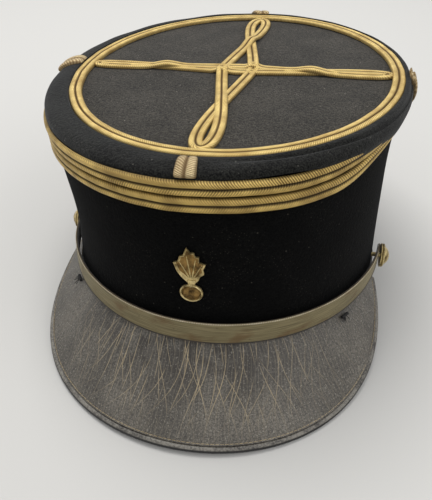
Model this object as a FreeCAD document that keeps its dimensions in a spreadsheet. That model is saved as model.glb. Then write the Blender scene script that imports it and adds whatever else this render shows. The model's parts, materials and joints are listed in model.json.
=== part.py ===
import FreeCAD, Part
import Sketcher
import math
import os
from FreeCAD import Placement, Rotation, Vector

# A stiff officer's cap: a cloth-covered side and flat crown with a soft roll
# round its edge, soutache braid, a leather peak, a false chin strap on two
# side buttons and a small ball-and-flame badge.
# Everything is drawn in the cap's own frame (lower edge of the side on z = 0,
# front towards -Y), then laid on the table by one placement, REST.

doc = FreeCAD.newDocument("officer_cap")
sheet = doc.addObject("Spreadsheet::Sheet", "Sizes")

DIMENSIONS = [
    ("base_half_width", 85.0, "side cloth at the lower edge, half across"),
    ("base_half_length", 102.6, "side cloth at the lower edge, half front to back"),
    ("side_height", 92.4, "lower edge to the upper edge of the side, at its middle"),
    ("crown_half_width", 92.3, "side cloth at its upper edge, half across"),
    ("crown_front", 104.0, "side cloth at its upper edge, forward of the middle"),
    ("crown_back", 115.3, "side cloth at its upper edge, behind the middle"),
    ("crown_lean", 6.0, "how far the worn crown leans to the wearer's right"),
    ("waist", 1.0, "how far the side pulls in at mid height"),
    ("crown_pitch", 5.15, "crown rises to the back, degrees"),
    ("crown_bank", 2.2, "crown rises to the wearer's left, degrees"),
    ("cloth", 1.2, "wool cloth"),
    ("board", 1.0, "stiffener board"),
    ("lining", 0.4, "lining cloth"),
    ("sweat_leather", 1.0, "sweatband leather"),
    ("sweat_slack", 2.2, "sweatband stands this far inside the lining"),
    ("sweat_height", 34.0, "sweatband height"),
    ("layer_gap", 0.25, "air between two sewn layers"),
    ("binding_height", 1.8, "leather binding under the side"),
    ("binding_lip", 0.3, "binding stands this far outside the cloth"),
    ("ring_half_width", 83.8, "crown ring braid centre line, half across"),
    ("ring_half_length", 98.7, "crown ring braid centre line, half front to back"),
    ("ring_shift", 10.4, "ring centre behind the middle"),
    ("ring_side", 1.5, "ring centre towards the wearer's right"),
    ("soutache_width", 5.2, "soutache braid width on the crown"),
    ("soutache_height", 2.1, "soutache braid height"),
    ("side_braid_width", 6.0, "side braid width"),
    ("side_braid_height", 2.0, "side braid height off the cloth"),
    ("roll_half_width", 95.4, "outside of the roll, half across"),
    ("roll_front", 105.6, "outside of the roll, forward of the middle"),
    ("roll_back", 118.3, "outside of the roll, behind the middle"),
    ("roll_lean", 5.1, "roll's middle towards the wearer's right"),
    ("roll_rise", 5.0, "roll stands this far above the side's upper edge"),
    ("hoop_radius", 1.2, "cane hoop that holds the crown open"),
    ("knot_half_width", 79.4, "knot arm tip from the centre, across"),
    ("knot_half_length", 93.7, "knot arm tip from the centre, front to back"),
    ("knot_spread", 5.0, "widest half gap between an arm's two strands"),
    ("knot_centre_half", 7.0, "half side of the knot's interlaced square"),
    ("peak_length", 49.4, "peak from the side to its edge, at the front"),
    ("peak_slope", 51.2, "peak below the horizontal, degrees"),
    ("peak_half_angle", 78.9, "peak reaches this far round from the front, degrees"),
    ("peak_root", 2.0, "peak's upper face at the side"),
    ("peak_top_leather", 1.1, "peak upper leather"),
    ("peak_board", 0.9, "peak stiffener"),
    ("peak_under_leather", 0.8, "peak under leather"),
    ("peak_rim", 3.4, "peak rim binding, across"),
    ("strap_width", 10.7, "chin strap width at the front"),
    ("strap_end_width", 8.4, "chin strap width at the buttons"),
    ("strap_lace", 0.5, "chin strap's lace"),
    ("strap_leather", 0.5, "chin strap's leather backing"),
    ("strap_standoff", 1.5, "air between the side cloth and the strap"),
    ("strap_middle", 9.2, "strap centre line above the lower edge"),
    ("strap_tail", 5.0, "strap past the button centre"),
    ("button_forward", 17.3, "button axis forward of the middle"),
    ("button_radius", 6.6, "side button"),
    ("button_dome", 4.2, "side button's dome height"),
    ("button_skin", 0.5, "side button's brass sheet"),
    ("shank_radius", 1.2, "side button's shank"),
    ("shank_clearance", 0.3, "round the shank, in everything that it passes through"),
    ("pin_radius", 0.4, "pin through the shank"),
    ("pin_clearance", 0.05, "round the pin, in the shank"),
    ("washer_radius", 3.6, "washer inside the side"),
    ("washer_thickness", 0.4, "washer inside the side"),
    ("badge_height", 24.8, "badge, lowest point above the lower edge"),
    ("ball_radius", 4.9, "badge ball"),
    ("flame_tall", 19.5, "badge flame"),
    ("flame_wide", 14.4, "badge flame"),
    ("badge_sheet", 0.9, "badge stamping"),
    ("prong_radius", 0.5, "badge prong"),
    ("tab_width", 9.0, "vertical braid tab over the roll"),
    ("tab_height", 1.8, "vertical braid tab off the roll"),
    ("tack_angle", 52.0, "thread tack, this far round from the front, degrees"),
    ("tack_down", 3.0, "thread tack, this far down the peak"),
    ("tack_radius", 0.8, "thread tack"),
    ("tack_long", 5.0, "thread tack"),
]

for row, (alias, value, note) in enumerate(DIMENSIONS, start=1):
    sheet.set(f"A{row}", note)
    sheet.set(f"B{row}", str(value))
    sheet.setAlias(f"B{row}", alias)
doc.recompute()


def size(alias):
    return float(sheet.get(alias))


GAP = size("layer_gap")
UPRIGHT = Rotation(Vector(0, 0, 1), 90)
CROWN_LEVEL = size("side_height") + 2 * GAP
SIDES = {"left": 1, "right": -1}
FLARE_POWER = 4  # the side stands nearly straight, then flares out under the crown


# ---- the cap's own frame -------------------------------------------------

def plane(level, x=0.0, y=0.0):
    """A section plane at a height over the middle, tilted more towards the crown."""
    share = level / CROWN_LEVEL
    pitch = size("crown_pitch") * share
    bank = size("crown_bank") * share
    rise = y * math.tan(math.radians(pitch)) + x * math.tan(math.radians(bank))
    turn = Rotation(Vector(1, 0, 0), pitch).multiply(Rotation(Vector(0, 1, 0), -bank))
    return Placement(Vector(x, y, level + rise), turn)


def side_shape(level):
    """Half width, front, back and side shift of the cloth's outer face at a height."""
    share = level / size("side_height")
    flare = share ** FLARE_POWER
    pull = size("waist") * math.sin(math.pi * share)
    wide = size("base_half_width") * (1 - flare) + size("crown_half_width") * flare - pull
    front = size("base_half_length") * (1 - flare) + size("crown_front") * flare - pull
    back = size("base_half_length") * (1 - flare) + size("crown_back") * flare - pull
    return wide, front, back, -size("crown_lean") * share ** 2


def outline(half_width, half_length, place, inset=0.0):
    """An ellipse longer in Y, as an edge in a placed plane."""
    edge = Part.Ellipse(Vector(), half_length - inset, half_width - inset).toShape()
    edge.Placement = place.multiply(Placement(Vector(), UPRIGHT))
    return edge


def side_outline(level, inset):
    wide, front, back, shift = side_shape(level)
    place = plane(level, shift, (back - front) / 2)
    return outline(wide, (front + back) / 2, place, inset)


def feature(name, shape):
    result = doc.addObject("Part::Feature", name)
    result.Shape = shape
    return result


def band(first, second):
    """The face between two outlines: flat where they share a plane, else ruled."""
    if Part.Compound([first, second]).findPlane():
        rims = [Part.Wire(first), Part.Wire(second)]
        return Part.makeFace(rims, "Part::FaceMakerBullseye")
    return Part.makeRuledSurface(first, second)


def hoop_solid(outlines):
    """A ring-shaped solid: faces between outlines taken in a closed loop."""
    faces = []
    for first, second in zip(outlines, outlines[1:] + outlines[:1]):
        faces += band(first, second).Faces
    skin = Part.makeShell(faces)
    skin.sewShape()
    solid = Part.makeSolid(Part.Shell(skin.Faces))
    if solid.Volume < 0:
        solid.reverse()
    return solid


WALL_STEPS = 20


def side_wall(name, low, high, outside, inside):
    """A wall between two insets of the side's outer face."""
    levels = [low + (high - low) * step / WALL_STEPS for step in range(WALL_STEPS + 1)]
    rising = [side_outline(level, outside) for level in levels]
    falling = [side_outline(level, inside) for level in reversed(levels)]
    return feature(name, hoop_solid(rising + falling))


def cut(name, base, tool):
    result = doc.addObject("Part::Cut", name)
    result.Base = base
    result.Tool = tool
    return result


# ---- where the layers lie, inward from the side's outer face -------------

CLOTH_IN = size("cloth")
BOARD_OUT = CLOTH_IN + GAP
BOARD_IN = BOARD_OUT + size("board")
LINING_OUT = BOARD_IN + GAP
LINING_IN = LINING_OUT + size("lining")
SWEAT_OUT = LINING_IN + size("sweat_slack")
SWEAT_IN = SWEAT_OUT + size("sweat_leather")


# ---- side ----------------------------------------------------------------

parts = {}
FOOT = size("binding_height") + GAP
TOP = size("side_height")
HOOP_LEVEL = TOP - size("hoop_radius") - GAP
LINING_TOP = HOOP_LEVEL - size("hoop_radius") - 3 * GAP - size("lining")


def through_side(name, radius, reach):
    """Two bars along X through the side, where the button shanks pass."""
    bars = []
    for side, sign in SIDES.items():
        bar = doc.addObject("Part::Cylinder", f"{name}_{side}")
        bar.setExpression("Radius", radius)
        bar.Height = reach
        start = Vector(sign * size("base_half_width") / 2, -size("button_forward"), size("strap_middle"))
        bar.Placement = Placement(start, Rotation(Vector(0, 1, 0), 90 * sign))
        bars.append(bar)
    both = doc.addObject("Part::Fuse", name)
    both.Base, both.Tool = bars
    return both


SHANK_HOLE = "Sizes.shank_radius + Sizes.shank_clearance"
WASHER_HOLE = "Sizes.washer_radius + 2 * Sizes.shank_clearance"
HOLE_REACH = size("base_half_width")


def prong_places():
    """The badge's two prongs: one behind the ball, one behind the flame."""
    ball = size("badge_height") + size("ball_radius")
    flame = size("badge_height") + 2 * size("ball_radius") + size("flame_tall") / 2
    return [ball, flame]


def prong_holes(name):
    bars = []
    for number, height in enumerate(prong_places()):
        bar = doc.addObject("Part::Cylinder", f"{name}_{number}")
        bar.setExpression("Radius", "Sizes.prong_radius + Sizes.layer_gap")
        bar.Height = size("base_half_length")
        bar.Placement = Placement(Vector(0, -size("base_half_length") / 2, height),
                                  Rotation(Vector(1, 0, 0), 90))
        bars.append(bar)
    both = doc.addObject("Part::Fuse", name)
    both.Base, both.Tool = bars
    return both


def drilled(name, wall, shank_hole):
    """A wall with its two shank holes and the badge's two prong holes."""
    shanked = cut(name + "_shanked", wall, through_side(name + "_shanks", shank_hole, HOLE_REACH))
    return cut(name, shanked, prong_holes(name + "_prongs"))


parts["side_cloth"] = drilled(
    "side_cloth", side_wall("cloth_wall", FOOT, TOP, 0.0, CLOTH_IN), SHANK_HOLE)
parts["side_stiffener"] = drilled(
    "side_stiffener", side_wall("board_wall", FOOT, TOP, BOARD_OUT, BOARD_IN), SHANK_HOLE)
parts["side_lining"] = drilled(
    "side_lining", side_wall("lining_wall", FOOT, LINING_TOP, LINING_OUT, LINING_IN), WASHER_HOLE)
parts["sweatband"] = side_wall("sweatband", FOOT, FOOT + size("sweat_height"), SWEAT_OUT, SWEAT_IN)
parts["base_binding"] = side_wall(
    "base_binding", 0.0, size("binding_height"), -size("binding_lip"), SWEAT_IN)


# ---- crown ---------------------------------------------------------------

def crown_plate(name, level, thickness, half_width, half_length, x, y):
    """A flat elliptical plate square to the crown's plane."""
    curve = doc.addObject("Part::Ellipse", name + "_outline")
    curve.MajorRadius = half_length
    curve.MinorRadius = half_width
    curve.Placement = plane(level, x, y).multiply(Placement(Vector(), UPRIGHT))
    plate = doc.addObject("Part::Extrusion", name)
    plate.Base = curve
    plate.Solid = True
    plate.DirMode = "Normal"
    plate.setExpression("LengthFwd", thickness)
    return plate


wide, front, back, shift = side_shape(TOP)
middle = (back - front) / 2
CLOTH_LEVEL = CROWN_LEVEL + size("board") + GAP
RING_LEVEL = CLOTH_LEVEL + size("cloth") + GAP
RING_X = -size("ring_side")
RING_Y = size("ring_shift")

parts["crown_board"] = crown_plate(
    "crown_board", CROWN_LEVEL, "Sizes.board", wide - BOARD_OUT,
    (front + back) / 2 - BOARD_OUT, shift, middle)
parts["crown_cloth"] = crown_plate(
    "crown_cloth", CLOTH_LEVEL, "Sizes.cloth", size("ring_half_width"), size("ring_half_length"),
    RING_X, RING_Y)
lid = side_shape(LINING_TOP + GAP)
parts["crown_lining"] = crown_plate(
    "crown_lining", LINING_TOP + GAP, "Sizes.lining", lid[0] - LINING_OUT,
    (lid[1] + lid[2]) / 2 - LINING_OUT, lid[3], (lid[2] - lid[1]) / 2)


def ring_outline(level, inset):
    place = plane(level, RING_X, RING_Y)
    return outline(size("ring_half_width"), size("ring_half_length"), place, inset)


half = size("soutache_width") / 2
tall = RING_LEVEL + size("soutache_height")
parts["crown_ring_braid"] = feature("crown_ring_braid", hoop_solid([
    ring_outline(RING_LEVEL, -half), ring_outline(tall, -half),
    ring_outline(tall, half), ring_outline(RING_LEVEL, half)]))


HOOP_SIDES = 8


def hoop():
    """The cane hoop: an eight-sided bar bent to the side's shape."""
    radius = size("hoop_radius")
    inset = BOARD_IN + radius + GAP
    wide, front, back, shift = side_shape(HOOP_LEVEL - radius)
    outlines = []
    for corner in range(HOOP_SIDES):
        angle = 2 * math.pi * corner / HOOP_SIDES
        place = plane(HOOP_LEVEL + radius * math.sin(angle), shift, (back - front) / 2)
        outlines.append(outline(wide, (front + back) / 2, place, inset + radius * math.cos(angle)))
    return hoop_solid(outlines)


parts["crown_hoop"] = feature("crown_hoop", hoop())

# The roll runs from the ring's outer edge (share 0) to its own outer edge
# (share 1). Each step is a share and a height, as a part of the roll's rise.
ROLL_PROFILE = [(1.0, 0.04), (1.0, 0.3), (0.88, 0.71), (0.6, 0.95), (0.3, 1.0), (0.0, 0.88)]
ROLL_SEAM = size("soutache_width") / 2 + 2 * GAP


def roll_outline(share):
    """Half width, half length, x and y of the roll's outline at a share."""
    inner_wide = size("ring_half_width") + ROLL_SEAM
    inner_long = size("ring_half_length") + ROLL_SEAM
    outer_long = (size("roll_front") + size("roll_back")) / 2
    outer_shift = (size("roll_back") - size("roll_front")) / 2
    half_width = inner_wide + (size("roll_half_width") - inner_wide) * share
    half_length = inner_long + (outer_long - inner_long) * share
    x = RING_X + (-size("roll_lean") - RING_X) * share
    y = RING_Y + (outer_shift - RING_Y) * share
    return half_width, half_length, x, y


def roll_edge(share, height, inset=0.0):
    """An outline of the roll at a share, so high over the side's upper edge."""
    half_width, half_length, x, y = roll_outline(share)
    return outline(half_width, half_length, plane(TOP + height, x, y), inset)


RISE = size("roll_rise")
skin = [roll_edge(share, RISE * part) for share, part in ROLL_PROFILE]
hollow = [roll_edge(share, RISE * part - (CLOTH_IN if share < 1 else 0), CLOTH_IN * share)
          for share, part in reversed(ROLL_PROFILE)]
parts["roll_cloth"] = feature("roll_cloth", hoop_solid(skin + hollow))

WADDING_FOOT = CLOTH_LEVEL - TOP
wadding = [roll_edge(share, RISE * part - CLOTH_IN - GAP, (BOARD_OUT + GAP) * share)
           for share, part in ROLL_PROFILE[2:]]
wadding += [roll_edge(0.0, WADDING_FOOT, 0.0),
            roll_edge(ROLL_PROFILE[2][0], WADDING_FOOT, BOARD_OUT)]
parts["roll_wadding"] = feature("roll_wadding", hoop_solid(wadding))


# ---- braid ---------------------------------------------------------------

for name, step in (("side_braid_upper", 0), ("side_braid_lower", 1)):
    high = TOP - step * (size("side_braid_width") + GAP)
    low = high - size("side_braid_width")
    parts[name] = side_wall(name, low, high, -size("side_braid_height"), -GAP)


# A strand of a knot arm: shares of the arm's run, and of its widest spread.
STRAND = [(0, 1), (0.25, 0.55), (0.5, 0), (0.72, -0.5), (0.92, -0.35), (1, 0)]
KNOT_TIP_RADIUS = 0.6 * size("soutache_width")


def strand(reach, spread, sign):
    """One flat strand of a knot arm along +X: corner, crossing, then the tip."""
    start = size("knot_centre_half")
    run = reach - size("soutache_width") / 2 - start
    points = [(start + run * along, spread * aside) for along, aside in STRAND]
    curve = Part.BSplineCurve()
    curve.interpolate([Vector(x, sign * y, 0) for x, y in points])
    path = Part.Wire(curve.toShape())
    half = size("soutache_width") / 2
    along = curve.tangent(curve.FirstParameter)[0]
    across = Vector(0, 0, 1).cross(along)
    origin = Vector(start, sign * spread, 0)
    tall = Vector(0, 0, size("soutache_height"))
    corners = [origin - across * half, origin + across * half, origin + across * half + tall]
    corners += [origin - across * half + tall, origin - across * half]
    return path.makePipeShell([Part.makePolygon(corners)], True, False)


def knot():
    """Four arms of two crossing strands, joined by a square of the same braid."""
    outer = size("knot_centre_half") + size("soutache_width") / 2
    inner = size("knot_centre_half") - size("soutache_width") / 2
    tall = size("soutache_height")
    square = Part.makeBox(2 * outer, 2 * outer, tall, Vector(-outer, -outer, 0))
    square = square.cut(Part.makeBox(2 * inner, 2 * inner, tall, Vector(-inner, -inner, 0)))
    pieces = []
    for turn in range(4):
        reach = size("knot_half_length") if turn % 2 else size("knot_half_width")
        for sign in (1, -1):
            piece = strand(reach, size("knot_spread"), sign)
            piece.rotate(Vector(), Vector(0, 0, 1), 90 * turn)
            pieces.append(piece)
        tip = Part.makeCylinder(KNOT_TIP_RADIUS, tall, Vector(reach - KNOT_TIP_RADIUS, 0, 0))
        tip.rotate(Vector(), Vector(0, 0, 1), 90 * turn)
        pieces.append(tip)
    return square.fuse(pieces)


knot_feature = feature("crown_knot_braid", knot())
knot_feature.Placement = plane(RING_LEVEL, RING_X, RING_Y)
parts["crown_knot_braid"] = knot_feature


TAB_AIR = 2 * GAP


def tab_place(level, turn):
    """On the section plane at a level, with local X towards one side of the cap."""
    return plane(level).multiply(Placement(Vector(), Rotation(Vector(0, 0, 1), turn)))


def tab(turn):
    """A short loop of braid from the ring, over the roll, to the side braid."""
    inner = []
    outer = []
    for share, part in reversed(ROLL_PROFILE):
        half_width, half_length, x, y = roll_outline(share)
        reaches = {0: half_width + x, 90: half_length + y, 180: half_width - x, 270: half_length - y}
        on_roll = tab_place(TOP + RISE * part, turn).multVec(Vector(reaches[turn], 0, 0))
        near = tab_place(TOP, turn).inverse().multVec(on_roll)
        near.y = 0
        away = Vector(share ** 2, 0, 1 - share ** 2)
        inner.append(near + away * TAB_AIR)
        outer.append(near + away * (TAB_AIR + size("tab_height")))
    profile = Part.Face(Part.makePolygon(inner + outer[::-1] + inner[:1]))
    profile.translate(Vector(0, -size("tab_width") / 2, 0))
    return profile.extrude(Vector(0, size("tab_width"), 0))


for name, turn in (("front", 270), ("back", 90), ("left", 0), ("right", 180)):
    tab_feature = feature(f"tab_braid_{name}", tab(turn))
    tab_feature.Placement = tab_place(TOP, turn)
    parts[f"tab_braid_{name}"] = tab_feature


# ---- peak ----------------------------------------------------------------

PEAK_STATIONS = 24
PEAK_ENDS = 0.92  # the share of its half angle where the peak stops
PEAK_SHOULDER = 0.28  # fuller than an ellipse off the middle,
PEAK_TAPER = 0.95  # and narrower towards the ends
PEAK_THICK = size("peak_top_leather") + size("peak_board") + size("peak_under_leather") + 2 * GAP
SLOPE = math.radians(size("peak_slope"))


def round_the_front(angle, outside):
    """A point outside the side's lower outline, and the outward direction there."""
    wide = size("base_half_width")
    long = size("base_half_length")
    out = Vector(math.sin(angle) * long, -math.cos(angle) * wide, 0).normalize()
    return Vector(wide * math.sin(angle), -long * math.cos(angle), 0) + out * outside, out


def peak_reach(share):
    """The peak's length at a share of its half angle: long in front, short at the ends."""
    round_end = math.sqrt(1 - share ** 2)
    fullness = 1 + PEAK_SHOULDER * share ** 2 - PEAK_TAPER * share ** 4
    return size("peak_length") * round_end * fullness


def peak_point(angle, along, depth):
    """A point on the peak: so far down its slope, so deep under its upper face."""
    root, out = round_the_front(angle, size("binding_lip") + 2 * GAP)
    down = out * math.cos(SLOPE) - Vector(0, 0, math.sin(SLOPE))
    up = out * math.sin(SLOPE) + Vector(0, 0, math.cos(SLOPE))
    return root + Vector(0, 0, size("peak_root")) + down * along - up * depth


def peak_stations():
    """Angles round the front, closer together towards the ends, with the reach at each."""
    half = math.radians(size("peak_half_angle"))
    stations = []
    for step in range(PEAK_STATIONS + 1):
        share = PEAK_ENDS * math.sin(math.pi * (step / PEAK_STATIONS - 0.5))
        stations.append((share * half, peak_reach(share)))
    return stations


def peak_layer(top, bottom):
    """One layer of the peak, between two depths, from the side to its rim."""
    wires = []
    for angle, reach in peak_stations():
        edge = reach - size("peak_rim") - GAP
        corners = [peak_point(angle, top * math.tan(SLOPE), top), peak_point(angle, edge, top)]
        corners += [peak_point(angle, edge, bottom), peak_point(angle, bottom * math.tan(SLOPE), bottom)]
        wires.append(Part.makePolygon(corners + corners[:1]))
    return Part.makeLoft(wires, True, False)


def peak_rim():
    """The bound edge: a bead along the peak's outline."""
    radius = size("peak_rim") / 2
    wires = []
    for angle, reach in peak_stations():
        centre = peak_point(angle, reach - radius, PEAK_THICK / 2)
        out = round_the_front(angle, 0)[1]
        wires.append(Part.Wire(Part.makeCircle(radius, centre, Vector(0, 0, 1).cross(out))))
    return Part.makeLoft(wires, True, False)


depth = 0.0
for name, thickness in (("peak_upper_leather", "peak_top_leather"), ("peak_board", "peak_board"),
                        ("peak_under_leather", "peak_under_leather")):
    parts[name] = feature(name, peak_layer(depth, depth + size(thickness)))
    depth += size(thickness) + GAP
parts["peak_rim_binding"] = feature("peak_rim_binding", peak_rim())


# ---- chin strap ----------------------------------------------------------

STRAP_STATIONS = 24
STRAP_TAPER = 3  # the strap keeps its width in front, and narrows near its ends
STRAP_END = math.acos((size("button_forward") - size("strap_tail")) / size("base_half_length"))


def strap_layer(inside, outside):
    """One ply of the strap, from tail to tail round the front."""
    wires = []
    for step in range(STRAP_STATIONS + 1):
        angle = STRAP_END * (2 * step / STRAP_STATIONS - 1)
        share = abs(angle) / STRAP_END
        taper = share ** STRAP_TAPER
        width = size("strap_width") * (1 - taper) + size("strap_end_width") * taper
        low = Vector(0, 0, size("strap_middle") - width / 2)
        high = Vector(0, 0, size("strap_middle") + width / 2)
        near = round_the_front(angle, inside)[0]
        far = round_the_front(angle, outside)[0]
        wires.append(Part.makePolygon([near + low, far + low, far + high, near + high, near + low]))
    return Part.makeLoft(wires, True, False)


def strap_ply(name, inside, outside):
    ply = feature(name + "_ply", strap_layer(inside, outside))
    return cut(name, ply, through_side(name + "_holes", SHANK_HOLE, HOLE_REACH))


STRAP_IN = size("strap_standoff")
LACE_IN = STRAP_IN + size("strap_leather") + GAP / 2
STRAP_OUT = LACE_IN + size("strap_lace")
parts["strap_leather"] = strap_ply("strap_leather", STRAP_IN, STRAP_IN + size("strap_leather"))
parts["strap_lace"] = strap_ply("strap_lace", LACE_IN, STRAP_OUT)


# ---- side buttons --------------------------------------------------------

def side_x(forward, outside):
    """How far out the side's face is, so far forward of the middle."""
    wide = size("base_half_width") + outside
    long = size("base_half_length") + outside
    return wide * math.sqrt(1 - (forward / long) ** 2)


BUTTON_BACK = side_x(size("button_forward") - size("strap_tail"), STRAP_OUT) + 2 * GAP
INNER_WALL = side_x(size("button_forward") + size("washer_radius"), -BOARD_IN)
WASHER_IN = INNER_WALL - 2 * GAP - size("washer_thickness")
PIN_AT = WASHER_IN - GAP - size("pin_radius")
SHANK_END = PIN_AT - size("pin_radius") - GAP


def button_place(sign, reach):
    """On the button's axis, with local Z pointing out of the cap."""
    centre = Vector(sign * reach, -size("button_forward"), size("strap_middle"))
    return Placement(centre, Rotation(Vector(0, 1, 0), 90 * sign))


def dome(name, radius, height, place):
    """A spherical cap on a flat back, by a sphere kept in front of its chord."""
    ball_radius = (radius ** 2 + height ** 2) / (2 * height)
    ball = doc.addObject("Part::Sphere", name + "_ball")
    ball.Radius = ball_radius
    ball.Placement = place.multiply(Placement(Vector(0, 0, height - ball_radius), Rotation()))
    front = doc.addObject("Part::Cylinder", name + "_front")
    front.Radius = radius * 2
    front.Height = height * 2
    front.Placement = place
    cap = doc.addObject("Part::Common", name)
    cap.Base = ball
    cap.Tool = front
    return cap


def disc_body(name, radius_cell, hole, thickness_cell, place):
    """A washer or plate: a sketched circle, with or without a hole, padded."""
    body = doc.addObject("PartDesign::Body", name)
    sketch = body.newObject("Sketcher::SketchObject", name + "_sketch")
    floor = next(item for item in body.Origin.OriginFeatures if item.Role == "XY_Plane")
    sketch.AttachmentSupport = (floor, "")
    sketch.MapMode = "FlatFace"
    rims = [radius_cell] if hole is None else [radius_cell, hole]
    for number, rim in enumerate(rims):
        sketch.addGeometry(Part.Circle(Vector(), Vector(0, 0, 1), 3.0 - number), False)
        sketch.addConstraint(Sketcher.Constraint("Coincident", number, 3, -1, 1))
        index = sketch.addConstraint(Sketcher.Constraint("Radius", number, 3.0 - number))
        sketch.renameConstraint(index, f"rim_{number}")
        sketch.setExpression(f"Constraints.rim_{number}", rim)
    pad = body.newObject("PartDesign::Pad", name + "_pad")
    pad.Profile = sketch
    pad.setExpression("Length", thickness_cell)
    body.Placement = place
    return body


for side, sign in SIDES.items():
    skin = size("button_skin")
    face = button_place(sign, BUTTON_BACK + skin + GAP / 2)
    parts[f"button_{side}_face"] = cut(
        f"button_{side}_face",
        dome(f"button_{side}_outer", size("button_radius"), size("button_dome"), face),
        dome(f"button_{side}_inner", size("button_radius") - skin, size("button_dome") - skin, face))
    plate = disc_body(f"button_{side}_plate", "Sizes.button_radius", None, "Sizes.button_skin",
                      button_place(sign, BUTTON_BACK))
    shank = doc.addObject("Part::Cylinder", f"button_{side}_shank")
    shank.setExpression("Radius", "Sizes.shank_radius")
    shank.Height = BUTTON_BACK - SHANK_END
    shank.Placement = button_place(sign, SHANK_END)
    back = doc.addObject("Part::Fuse", f"button_{side}_back_whole")
    back.Base = plate
    back.Tool = shank
    hole = doc.addObject("Part::Cylinder", f"button_{side}_pin_hole")
    hole.setExpression("Radius", "Sizes.pin_radius + Sizes.pin_clearance")
    hole.setExpression("Height", "4 * Sizes.shank_radius")
    hole.Placement = Placement(Vector(sign * PIN_AT, -size("button_forward"),
                                      size("strap_middle") - 2 * size("shank_radius")), Rotation())
    parts[f"button_{side}_back"] = cut(f"button_{side}_back", back, hole)
    pin = doc.addObject("Part::Cylinder", f"button_{side}_pin")
    pin.setExpression("Radius", "Sizes.pin_radius")
    pin.setExpression("Height", "4 * Sizes.shank_radius")
    pin.Placement = hole.Placement
    parts[f"button_{side}_pin"] = pin
    parts[f"button_{side}_washer"] = disc_body(
        f"button_{side}_washer", "Sizes.washer_radius", SHANK_HOLE, "Sizes.washer_thickness",
        button_place(sign, WASHER_IN))


# ---- badge ---------------------------------------------------------------

BADGE_TALL = 2 * size("ball_radius") + size("flame_tall")
BADGE_LEVELS = [size("badge_height") + BADGE_TALL * step / 8 for step in range(9)]
BADGE_BACK = max(side_shape(level)[1] for level in BADGE_LEVELS) + GAP
# The fan of flame tongues: degrees from upright, and shares of the flame's height and width.
TONGUES = [(-34, 0.72, 0.36), (-17, 0.86, 0.36), (0, 1.0, 0.4), (17, 0.86, 0.36), (34, 0.72, 0.36)]
TONGUE_WAIST = 0.45  # a tongue is widest at this share of its height


def tongue(tall, wide, turn):
    """A pointed flame: a lens of two arcs standing on its lower point."""
    foot = Vector(0, 0, 0)
    tip = Vector(0, tall, 0)
    left = Part.Arc(foot, Vector(-wide / 2, tall * TONGUE_WAIST, 0), tip).toShape()
    right = Part.Arc(tip, Vector(wide / 2, tall * TONGUE_WAIST, 0), foot).toShape()
    shape = Part.Face(Part.Wire([left, right])).extrude(Vector(0, 0, size("badge_sheet")))
    shape.rotate(Vector(), Vector(0, 0, 1), turn)
    return shape


def badge():
    """A plain ball under a fan of flame tongues, drawn flat and stood up."""
    ball = size("ball_radius")
    sheet_high = size("badge_sheet")
    neck_wide = 0.8 * ball
    shape = Part.makeCylinder(ball, sheet_high, Vector(0, ball, 0))
    boss = Part.makeSphere(1.1 * ball, Vector(0, ball, sheet_high - 0.85 * ball))
    keep = Part.makeCylinder(0.8 * ball, ball, Vector(0, ball, sheet_high / 2))
    neck = Part.makeBox(neck_wide, neck_wide, sheet_high, Vector(-neck_wide / 2, 1.8 * ball, 0))
    tongues = []
    for turn, tall, wide in TONGUES:
        flame = tongue(size("flame_tall") * tall, size("flame_wide") * wide, turn)
        flame.translate(Vector(0, 2.2 * ball, 0))
        tongues.append(flame)
    return shape.fuse([boss.common(keep), neck] + tongues)


badge_feature = feature("badge_stamping", badge())
upright = Rotation(Vector(1, 0, 0), 90)
badge_feature.Placement = Placement(Vector(0, -BADGE_BACK, size("badge_height")), upright)
parts["badge_stamping"] = badge_feature

inner_front = min(side_shape(level)[1] for level in BADGE_LEVELS) - LINING_IN
PLATE_OUT = inner_front - 2 * GAP
PLATE_IN = PLATE_OUT - size("board")
prong_long = BADGE_BACK - PLATE_IN + GAP
prongs = []
for height in prong_places():
    foot = Vector(0, -BADGE_BACK, height)
    prongs.append(Part.makeCylinder(size("prong_radius"), prong_long, foot, Vector(0, 1, 0)))
parts["badge_prongs"] = feature("badge_prongs", Part.makeCompound(prongs))

backing = doc.addObject("Part::Box", "badge_backing_blank")
backing.setExpression("Length", "1.4 * Sizes.ball_radius")
backing.setExpression("Width", "Sizes.board")
backing.setExpression("Height", "2 * Sizes.ball_radius + Sizes.flame_tall / 2")
corner = Vector(-0.7 * size("ball_radius"), -PLATE_OUT, size("badge_height"))
backing.Placement = Placement(corner, Rotation())
parts["badge_backing"] = cut("badge_backing", backing, prong_holes("badge_backing_holes"))


# ---- thread tacks that hold the strap's lower edge to the peak -----------

for side, sign in SIDES.items():
    angle = sign * math.radians(size("tack_angle"))
    spot = peak_point(angle, size("tack_down"), -(size("tack_radius") + GAP))
    along = Vector(0, 0, 1).cross(round_the_front(angle, 0)[1])
    start = spot - along * (size("tack_long") / 2)
    bar = Part.makeCylinder(size("tack_radius"), size("tack_long"), start, along)
    parts[f"thread_tack_{side}"] = feature(f"thread_tack_{side}", bar)

doc.recompute()


# ---- resting on the table ------------------------------------------------

def rest_place():
    """Tip the cap until the peak's rim and the lower edge at the back both touch z = 0."""
    radius = size("peak_rim") / 2
    heel = Vector(0, size("base_half_length") + size("binding_lip"), 0)
    angles = []
    for station, reach in peak_stations():
        rim = peak_point(station, reach - radius, PEAK_THICK / 2)
        run = heel.y - rim.y
        drop = heel.z - rim.z
        angles.append(math.atan2(drop, run) + math.asin(radius / math.hypot(run, drop)))
    turn = Rotation(Vector(1, 0, 0), -math.degrees(max(angles)))
    return Placement(Vector(0, 0, -turn.multVec(heel).z), turn)


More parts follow.
